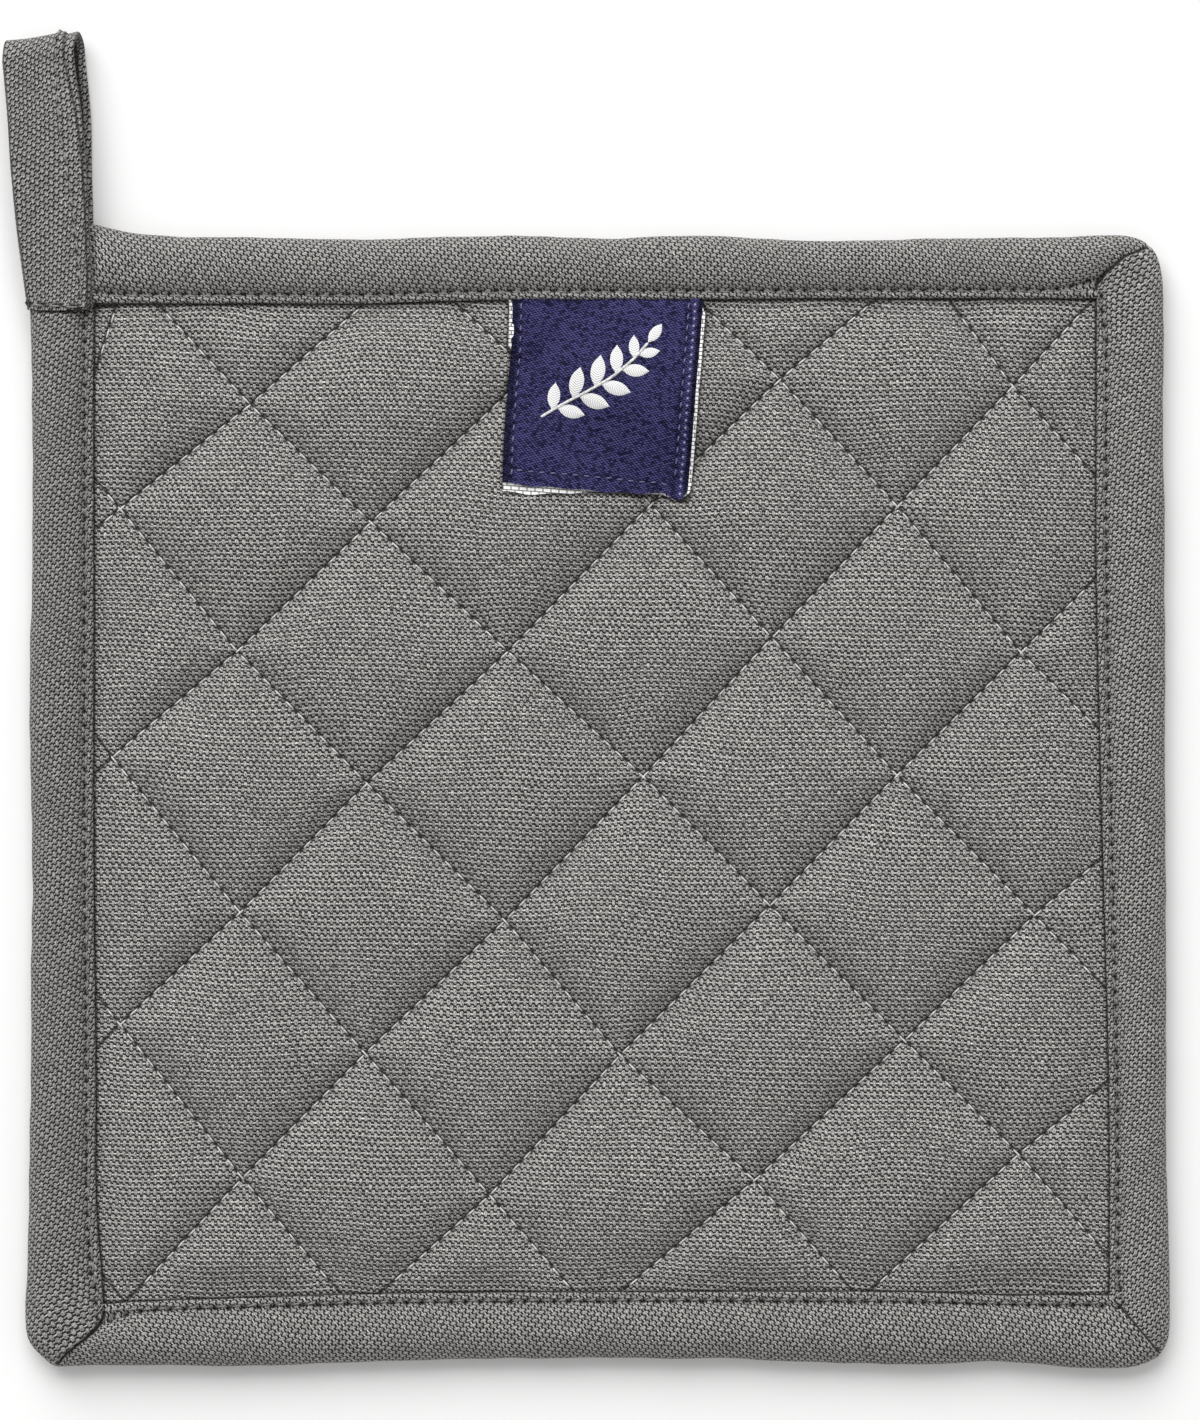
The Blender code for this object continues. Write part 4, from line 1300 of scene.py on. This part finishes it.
def weave_group():
    """Plain weave from places in millimetres: colour and height of its crossing yarns."""
    bench, given, result = new_group(
        "plain_weave",
        (
            ("Place", "NodeSocketVector", None),
            ("Warp Pitch", "NodeSocketFloat", 0.555),
            ("Weft Pitch", "NodeSocketFloat", 0.92),
            ("Weft Width", "NodeSocketFloat", 0.28),
            ("Drift", "NodeSocketFloat", 0.5),
            ("Warp Colour", "NodeSocketColor", (0.315, 0.304, 0.293, 1.0)),
            ("Weft Colour", "NodeSocketColor", (0.433, 0.420, 0.406, 1.0)),
            ("Gap Shade", "NodeSocketColor", (0.006, 0.006, 0.006, 1.0)),
            ("Unevenness", "NodeSocketFloat", 0.22),
            ("Twist", "NodeSocketFloat", 0.12),
        ),
        (("Colour", "NodeSocketColor"), ("Height", "NodeSocketFloat")),
    )
    calc = bench.calc
    place = given["Place"]
    for scale, detail, reach in ((0.045, 1.0, 6.0), (0.6, 2.0, 0.5)):
        wander = bench.mottle(given["Place"], scale, detail)
        shift = bench.vector("SUBTRACT", wander.outputs["Color"], (0.5, 0.5, 0.5))
        scaled = bench.scaled(shift, calc("MULTIPLY", given["Drift"], reach))
        place = bench.vector("ADD", place, scaled)
    across, along = bench.split(place)
    u = calc("DIVIDE", across, given["Warp Pitch"])
    v = calc("DIVIDE", along, given["Weft Pitch"])
    column, row = calc("FLOOR", u), calc("FLOOR", v)
    beside = calc("SUBTRACT", calc("FRACT", u), 0.5)
    above = calc("SUBTRACT", calc("FRACT", v), 0.5)

    def yarn(off_centre, width, travelled, number, wave_height, round_height, level):
        share = calc("DIVIDE", calc("ABSOLUTE", off_centre), calc("MULTIPLY", width, 0.5))
        round_top = calc("SUBTRACT", 1.0, calc("POWER", share, 2.0))
        turn = calc("ADD", calc("SUBTRACT", travelled, 0.5), number)
        wave = calc("COSINE", calc("MULTIPLY", turn, math.pi))
        crown = calc("MULTIPLY_ADD", round_top, round_height, level)
        body = calc("MULTIPLY_ADD", wave, wave_height, crown)
        return calc("SUBTRACT", body, calc("MULTIPLY", calc("LESS_THAN", round_top, 0.0), 2.0))

    def chance(*parts):
        key = bench.node("ShaderNodeCombineXYZ")
        for socket, part in zip(key.inputs, parts):
            bench.feed(socket, part)
        return bench.dice(key.outputs[0])

    slack = calc("MULTIPLY_ADD", chance(column, row, 0.5), 0.5, 0.75)
    weft_width = calc("MULTIPLY", given["Weft Width"], slack)
    twisted = calc("MULTIPLY_ADD", beside, given["Twist"], v)
    warp = yarn(beside, 1.0, twisted, column, 0.55, 0.28, 0.17)
    weft = yarn(above, weft_width, u, row, -0.42, 0.30, 0.28)
    height = calc("MAXIMUM", calc("MAXIMUM", warp, weft), -0.2)
    weft_shows = calc("GREATER_THAN", weft, warp)
    # Where the yarns dive low the colour fades to the gap shade: painted shade between the yarns.
    lifted = bench.spread(height, 0.3, 0.47)
    reach = calc("MULTIPLY", given["Unevenness"], calc("MULTIPLY_ADD", weft_shows, 0.9, 1.0))
    off_middle = calc("SUBTRACT", chance(column, row, weft_shows), 0.5)
    tone = calc("MULTIPLY_ADD", off_middle, reach, 1.0)
    fibres = bench.mottle(given["Place"], 5.5, 2.0)
    tone = calc("MULTIPLY", tone, bench.spread(fibres.outputs["Fac"], 0.34, 0.66, 0.1, 1.95))
    yarn_colour = bench.blend(weft_shows, given["Warp Colour"], given["Weft Colour"])
    colour = bench.blend(lifted, given["Gap Shade"], bench.scaled(yarn_colour, tone))
    bench.feed(result["Colour"], colour)
    bench.feed(result["Height"], bench.spread(height, 0.0, 0.88))
    return bench.tree


def marks_group():
    """One row of stitches: masks for its needle holes and its tight line, which the cloths use for
    painted shade and the label for pale specks, and the pucker about it.
    """
    bench, given, result = new_group(
        "stitch_marks",
        (
            ("Away", "NodeSocketFloat", FAR),
            ("Along", "NodeSocketFloat", 0.0),
            ("Pitch", "NodeSocketFloat", 3.6),
            ("Slant", "NodeSocketFloat", 0.0),
            ("Hole Length", "NodeSocketFloat", 0.6),
            ("Hole Width", "NodeSocketFloat", 0.25),
            ("Line Width", "NodeSocketFloat", 0.2),
            ("Pucker Reach", "NodeSocketFloat", 1.5),
        ),
        [(name, "NodeSocketFloat") for name in ("Hole", "Line", "Pucker")],
    )
    calc = bench.calc
    turn = calc("DIVIDE", given["Along"], given["Pitch"])
    part = calc("SUBTRACT", calc("FRACT", calc("ADD", turn, 0.5)), 0.5)
    from_hole = calc("MULTIPLY", part, given["Pitch"])
    away = calc("SUBTRACT", given["Away"], calc("MULTIPLY", given["Slant"], from_hole))

    def share(distance, reach):
        return calc("ABSOLUTE", calc("DIVIDE", distance, reach))

    def fading(value):
        return calc("EXPONENT", calc("MULTIPLY", value, -1.0))

    def fade(distance, reach):
        return fading(calc("POWER", share(distance, reach), 2.0))

    hole = calc("MULTIPLY", fade(from_hole, given["Hole Length"]), fade(away, given["Hole Width"]))
    line = fade(away, given["Line Width"])
    wave = calc("COSINE", calc("MULTIPLY", turn, 2.0 * math.pi))
    bench.feed(result["Hole"], calc("MULTIPLY", hole, 1.15, clamp=True))
    bench.feed(result["Line"], calc("MULTIPLY", line, 1.4, clamp=True))
    bench.feed(result["Pucker"], calc("MULTIPLY", wave, fading(share(away, given["Pucker Reach"]))))
    return bench.tree


def shade_group():
    """Paints shade into a colour, as far as its Crease input asks, and lets it vary softly over the
    cloth.
    """
    bench, given, result = new_group(
        "sewn_shade",
        (
            ("Colour", "NodeSocketColor", (0.5, 0.5, 0.5, 1.0)),
            ("Place", "NodeSocketVector", None),
            ("Crease", "NodeSocketFloat", 0.0),
            ("Crease Dark", "NodeSocketFloat", 0.75),
            ("Blotches", "NodeSocketFloat", 0.12),
        ),
        (("Colour", "NodeSocketColor"),),
    )
    calc = bench.calc
    wide = bench.mottle(given["Place"], 0.035, 3.0)
    fine = bench.mottle(given["Place"], 0.5, 2.0)
    both = calc("ADD", wide.outputs["Fac"], calc("MULTIPLY", fine.outputs["Fac"], 0.6))
    tone = calc("MULTIPLY_ADD", calc("SUBTRACT", both, 0.8), given["Blotches"], 1.0)
    shade_dark = calc("MULTIPLY", given["Crease"], given["Crease Dark"])
    tone = calc("MULTIPLY", tone, calc("SUBTRACT", 1.0, shade_dark, clamp=True))
    bench.feed(result["Colour"], bench.scaled(given["Colour"], tone))
    return bench.tree


def place_group(bench, tree, **values):
    node = bench.node("ShaderNodeGroup")
    node.node_tree = tree
    for name, value in values.items():
        bench.feed(node.inputs[name.replace("_", " ")], value)
    return node


def colour_cloth(bench, shader, shade, colour, place, **values):
    """Give a shader its colour, darker in creases and softly uneven over the cloth."""
    shaded = place_group(bench, shade, Colour=colour, Place=place, **values)
    bench.feed(shader.inputs["Base Color"], shaded.outputs["Colour"])


def start_material(name, roughness, sheen):
    material = bpy.data.materials.new(name)
    material.use_nodes = True
    bench = Workbench(material.node_tree)
    shader = material.node_tree.nodes["Principled BSDF"]
    shader.inputs["Roughness"].default_value = roughness
    shader.inputs["Sheen Weight"].default_value = sheen
    shader.inputs["Sheen Roughness"].default_value = 0.6
    shader.inputs["Specular IOR Level"].default_value = 0.25
    return material, bench, shader


def add_bump(bench, shader, height, distance, strength):
    bump = bench.node("ShaderNodeBump")
    bump.inputs["Distance"].default_value = distance
    bump.inputs["Strength"].default_value = strength
    bench.feed(bump.inputs["Height"], height)
    bench.feed(shader.inputs["Normal"], bump.outputs[0])


def millimetres(bench, turn=0.0):
    """The place on the part, in millimetres and turned about the upright by some degrees."""
    mapping = bench.node("ShaderNodeMapping")
    mapping.inputs["Scale"].default_value = (1.0 / MM, 1.0 / MM, 1.0 / MM)
    mapping.inputs["Rotation"].default_value = (0.0, 0.0, math.radians(turn))
    bench.feed(mapping.inputs["Vector"], bench.node("ShaderNodeTexCoord").outputs["Object"])
    return mapping.outputs[0]


def quilted_cotton(weave, shade, marks):
    """The grey cotton of the pad: its weave, with painted shade in its needle holes and along its seam
    lines, and a painted shadow beside the tape and the label.
    """
    material, bench, shader = start_material("grey_quilted_cotton", 0.9, 0.1)
    calc = bench.calc
    place = millimetres(bench, 1.2)
    cloth = place_group(bench, weave, Place=place, Drift=0.5)
    rising, falling = (
        place_group(
            bench,
            marks,
            Away=bench.attribute(lines + "_away"),
            Along=bench.attribute(lines + "_along"),
            Pitch=QUILT_STITCH,
            Hole_Length=0.56,
            Hole_Width=0.27,
            Line_Width=width,
        )
        for lines, width in (("rising", 0.26), ("falling", 0.18))
    )
    hole = calc("MAXIMUM", rising.outputs["Hole"], falling.outputs["Hole"])
    line = calc("MAXIMUM", rising.outputs["Line"], falling.outputs["Line"])
    pucker = calc("ADD", rising.outputs["Pucker"], falling.outputs["Pucker"])
    # Painted shadow along the tape's and the label's edges, and painted shade in the needle holes and
    # seam lines.
    shadow_by_tape = bench.spread(bench.attribute("beside_tape"), 0.15, 0.6, 0.88, 0.0)
    shadow_by_label = bench.spread(bench.attribute("beside_label"), 0.0, 0.7, 0.85, 0.0)
    painted_shade = calc("MAXIMUM", hole, calc("MULTIPLY", line, 0.8))
    painted_shade = calc("MAXIMUM", painted_shade, calc("MAXIMUM", shadow_by_tape, shadow_by_label))
    colour = cloth.outputs["Colour"]
    colour_cloth(bench, shader, shade, colour, place, Crease=painted_shade, Crease_Dark=SEAM_DARK)
    sunk = calc("MULTIPLY_ADD", pucker, 0.12, calc("ADD", hole, line))
    add_bump(bench, shader, calc("SUBTRACT", cloth.outputs["Height"], sunk), WEAVE_RELIEF, 1.0)
    return material


def bias_cotton(weave, shade, marks):
    """The same cotton cut on the bias, as the tape and the loop show it, with their topstitching and
    painted shade in its holes, along the mitre folds and where the mesh keeps it.
    """
    material, bench, shader = start_material("grey_bias_cotton", 0.9, 0.1)
    calc = bench.calc
    place = bench.cloth_place()
    cloth = place_group(
        bench,
        weave,
        Place=place,
        Drift=0.5,
        Warp_Colour=(0.293, 0.284, 0.273, 1.0),
        Weft_Colour=(0.402, 0.390, 0.378, 1.0),
        Weft_Width=0.24,
        Unevenness=0.3,
        Twist=-0.03,
    )
    row = place_group(
        bench,
        marks,
        Away=bench.attribute("stitch_away"),
        Along=bench.attribute("stitch_along"),
        Pitch=TAPE_STITCH,
        Slant=0.15,
        Hole_Length=0.5,
        Hole_Width=0.18,
        Pucker_Reach=1.2,
    )
    # Painted shade in the topstitch holes and along each mitre fold; the mesh keeps more.
    fold_shade = place_group(bench, marks, Away=bench.attribute("fold_away"), Line_Width=0.27)
    painted_shade = calc("MAXIMUM", row.outputs["Hole"], fold_shade.outputs["Line"])
    painted_shade = calc("MAXIMUM", painted_shade, bench.attribute("painted_shade"))
    colour = cloth.outputs["Colour"]
    colour_cloth(bench, shader, shade, colour, place, Crease=painted_shade, Crease_Dark=SEAM_DARK)
    sunk = calc("MULTIPLY_ADD", row.outputs["Pucker"], 0.3, painted_shade)
    add_bump(bench, shader, calc("SUBTRACT", cloth.outputs["Height"], sunk), WEAVE_RELIEF, 1.0)
    return material


def navy_twill(shade, marks):
    """The label's close navy weave, with a line of pale floats down its right hem, and painted shade at
    its edges and stitch dimples.
    """
    material, bench, shader = start_material("navy_twill", 0.8, 0.0)
    shader.inputs["Specular IOR Level"].default_value = 0.05
    calc = bench.calc
    place = bench.cloth_place()
    x, y = bench.split(place)
    key = bench.node("ShaderNodeCombineXYZ")
    ribs = []
    for socket, across, up in ((key.inputs[0], 0.63, -2.40), (key.inputs[1], 1.62, 1.42)):
        turn = calc("MULTIPLY_ADD", x, across, calc("MULTIPLY", y, up))
        bench.feed(socket, calc("FLOOR", calc("ADD", turn, 0.5)))
        ribs.append(calc("COSINE", calc("MULTIPLY", turn, 2.0 * math.pi)))
    lattice = calc("MULTIPLY_ADD", calc("ADD", *ribs), 0.25, 0.5)
    wide = bench.mottle(place, 1.0, 2.0)
    grain = calc("MULTIPLY_ADD", bench.dice(key.outputs[0]), 0.75, 0.07)
    grain = calc("MULTIPLY", grain, bench.spread(wide.outputs["Fac"], 0.36, 0.64, 2.2, 3.0))
    lifted = calc("MULTIPLY", calc("POWER", lattice, 1.6), grain)
    colour = bench.blend(lifted, (0.002, 0.002, 0.010, 1.0), (0.087, 0.081, 0.236, 1.0))
    specks = place_group(
        bench,
        marks,
        Away=bench.attribute("speck_away"),
        Along=bench.attribute("speck_along"),
        Pitch=1.28,
        Hole_Length=0.2,
        Hole_Width=0.17,
    )
    colour = bench.blend(specks.outputs["Hole"], colour, (0.36, 0.35, 0.54, 1.0))
    # Painted shade kept on the mesh: at the label's edges and in its stitch dimples.
    painted_shade = bench.attribute("painted_shade")
    colour_cloth(bench, shader, shade, colour, place, Crease=painted_shade, Crease_Dark=0.85, Blotches=0.25)
    add_bump(bench, shader, lifted, 0.00016, 0.8)
    return material


def white_lining(shade):
    """The label's underside: white floats in rows, like laid bricks."""
    material, bench, shader = start_material("white_lining", 0.8, 0.0)
    calc = bench.calc
    place = bench.cloth_place()
    x, y = bench.split(place)
    row = calc("DIVIDE", calc("MULTIPLY_ADD", x, 0.07, y), 0.72)
    brick = calc("MULTIPLY_ADD", calc("FLOOR", row), 0.5, calc("DIVIDE", x, 1.4))

    def joint(value, width):
        off = calc("ABSOLUTE", calc("SUBTRACT", calc("FRACT", value), 0.5))
        return bench.spread(off, 0.5 - width, 0.5 - 0.4 * width, 1.0, 0.0)

    body = calc("MULTIPLY", joint(row, 0.14), joint(brick, 0.08))
    colour = bench.blend(body, (0.14, 0.14, 0.15, 1.0), (0.86, 0.855, 0.84, 1.0))
    colour_cloth(bench, shader, shade, colour, place)
    add_bump(bench, shader, body, 0.0002, 0.8)
    return material


def satin_thread(shade):
    """Off-white embroidery thread, laid side by side across each leaf."""
    material, bench, shader = start_material("off_white_satin_thread", 0.5, 0.1)
    calc = bench.calc
    place = bench.cloth_place()
    x, y = bench.split(place)
    lean = calc("MULTIPLY_ADD", calc("ABSOLUTE", y), -0.6, x)
    strand = calc("SINE", calc("MULTIPLY", calc("FRACT", calc("DIVIDE", lean, 0.42)), math.pi))
    # Each strand is lighter on its crown and grey at its sides: painted highlight and shade.
    shine = calc("POWER", strand, 0.5)
    colour = bench.blend(shine, (0.45, 0.45, 0.48, 1.0), (0.88, 0.875, 0.87, 1.0))
    colour_cloth(bench, shader, shade, colour, place)
    add_bump(bench, shader, strand, 0.00012, 0.8)
    return material


def thread_finish(name, colour, shade):
    """Sewing thread, half as light between its strands, where the noise paints shade."""
    material, bench, shader = start_material(name, 0.6, 0.1)
    place = millimetres(bench)
    strands = bench.mottle(place, 3.0, 3.0)
    shade_dark = [0.5 * part for part in colour]
    lit = bench.spread(strands.outputs["Fac"], 0.35, 0.65)
    tone = bench.blend(lit, (*shade_dark, 1.0), (*colour, 1.0))
    colour_cloth(bench, shader, shade, tone, place)
    add_bump(bench, shader, strands.outputs["Fac"], 0.0001, 0.4)
    return material


# ---------------------------------------------------------------- the studio


# The light's place, size and power, the place that the camera looks down on, how far above it the
# camera is and how high a strip it sees there, in metres and watts. The sensor is in millimetres.
KEY_PLACE = Vector((-0.55, 1.9, 1.75))
KEY_SIZE = 2.6
KEY_POWER = 82.0
SKY_STRENGTH = 0.58
CAMERA_AIM = (0.00228, -0.0021, 0.005)
CAMERA_DISTANCE = 1.2
FRAME_HEIGHT = 0.24956
SENSOR = 36.0


def studio():
    """A white floor, a soft light from behind and above, and the camera straight above."""
    bpy.ops.object.select_all(action="DESELECT")
    bpy.ops.mesh.primitive_plane_add(size=12.0, location=(0.0, 0.0, -0.0001))
    floor = bpy.context.active_object
    floor.name = "studio_floor"
    material, bench, shader = start_material("studio_white", 0.9, 0.0)
    source = bench.node("ShaderNodeTexCoord").outputs["Object"]
    cloud = bench.mottle(source, 3.0)
    paper = bench.blend(cloud.outputs["Fac"], (0.88, 0.875, 0.875, 1.0), (0.90, 0.897, 0.897, 1.0))
    bench.feed(shader.inputs["Base Color"], paper)
    floor.data.materials.append(material)

    world = bpy.data.worlds.new("studio")
    world.use_nodes = True
    background = world.node_tree.nodes["Background"]
    background.inputs["Color"].default_value = (1.0, 0.995, 0.99, 1.0)
    background.inputs["Strength"].default_value = SKY_STRENGTH
    bpy.context.scene.world = world

    light = bpy.data.lights.new("key", "AREA")
    light.shape = "SQUARE"
    light.size = KEY_SIZE
    light.energy = KEY_POWER
    lamp = bpy.data.objects.new("key", light)
    lamp.location = KEY_PLACE
    lamp.rotation_euler = (-KEY_PLACE).to_track_quat("-Z", "Y").to_euler()
    bpy.context.scene.collection.objects.link(lamp)

    camera = bpy.data.objects.new("camera", bpy.data.cameras.new("camera"))
    camera.data.sensor_fit = "VERTICAL"
    camera.data.sensor_height = SENSOR
    camera.data.lens = SENSOR * CAMERA_DISTANCE / FRAME_HEIGHT
    x, y, z = CAMERA_AIM
    camera.location = (x, y, z + CAMERA_DISTANCE)
    bpy.context.scene.collection.objects.link(camera)
    bpy.context.scene.camera = camera
    bpy.context.scene.view_settings.view_transform = "Standard"


def main():
    weave, shade, marks = weave_group(), shade_group(), marks_group()
    face_cotton = quilted_cotton(weave, shade, marks)
    tape_cotton = bias_cotton(weave, shade, marks)
    grey_thread = thread_finish("grey_thread", (0.78, 0.77, 0.75), shade)
    tape_grey_thread = thread_finish("tape_thread", (0.30, 0.295, 0.285), shade)
    pad = quilted_cloth(face_cotton)
    quilting_thread(pad, grey_thread)
    tape = bias_tape(tape_cotton)
    tape_thread(tape, tape_grey_thread)
    loop = loop_tape(tape_cotton)
    loop_thread(loop, tape_grey_thread)
    label = woven_label(navy_twill(shade, marks), white_lining(shade), pad)
    label_thread(label, thread_finish("lavender_thread", (0.17, 0.16, 0.32), shade))
    label_sprig(label, satin_thread(shade), thread_finish("off_white_thread", (0.86, 0.855, 0.85), shade))
    studio()


main()
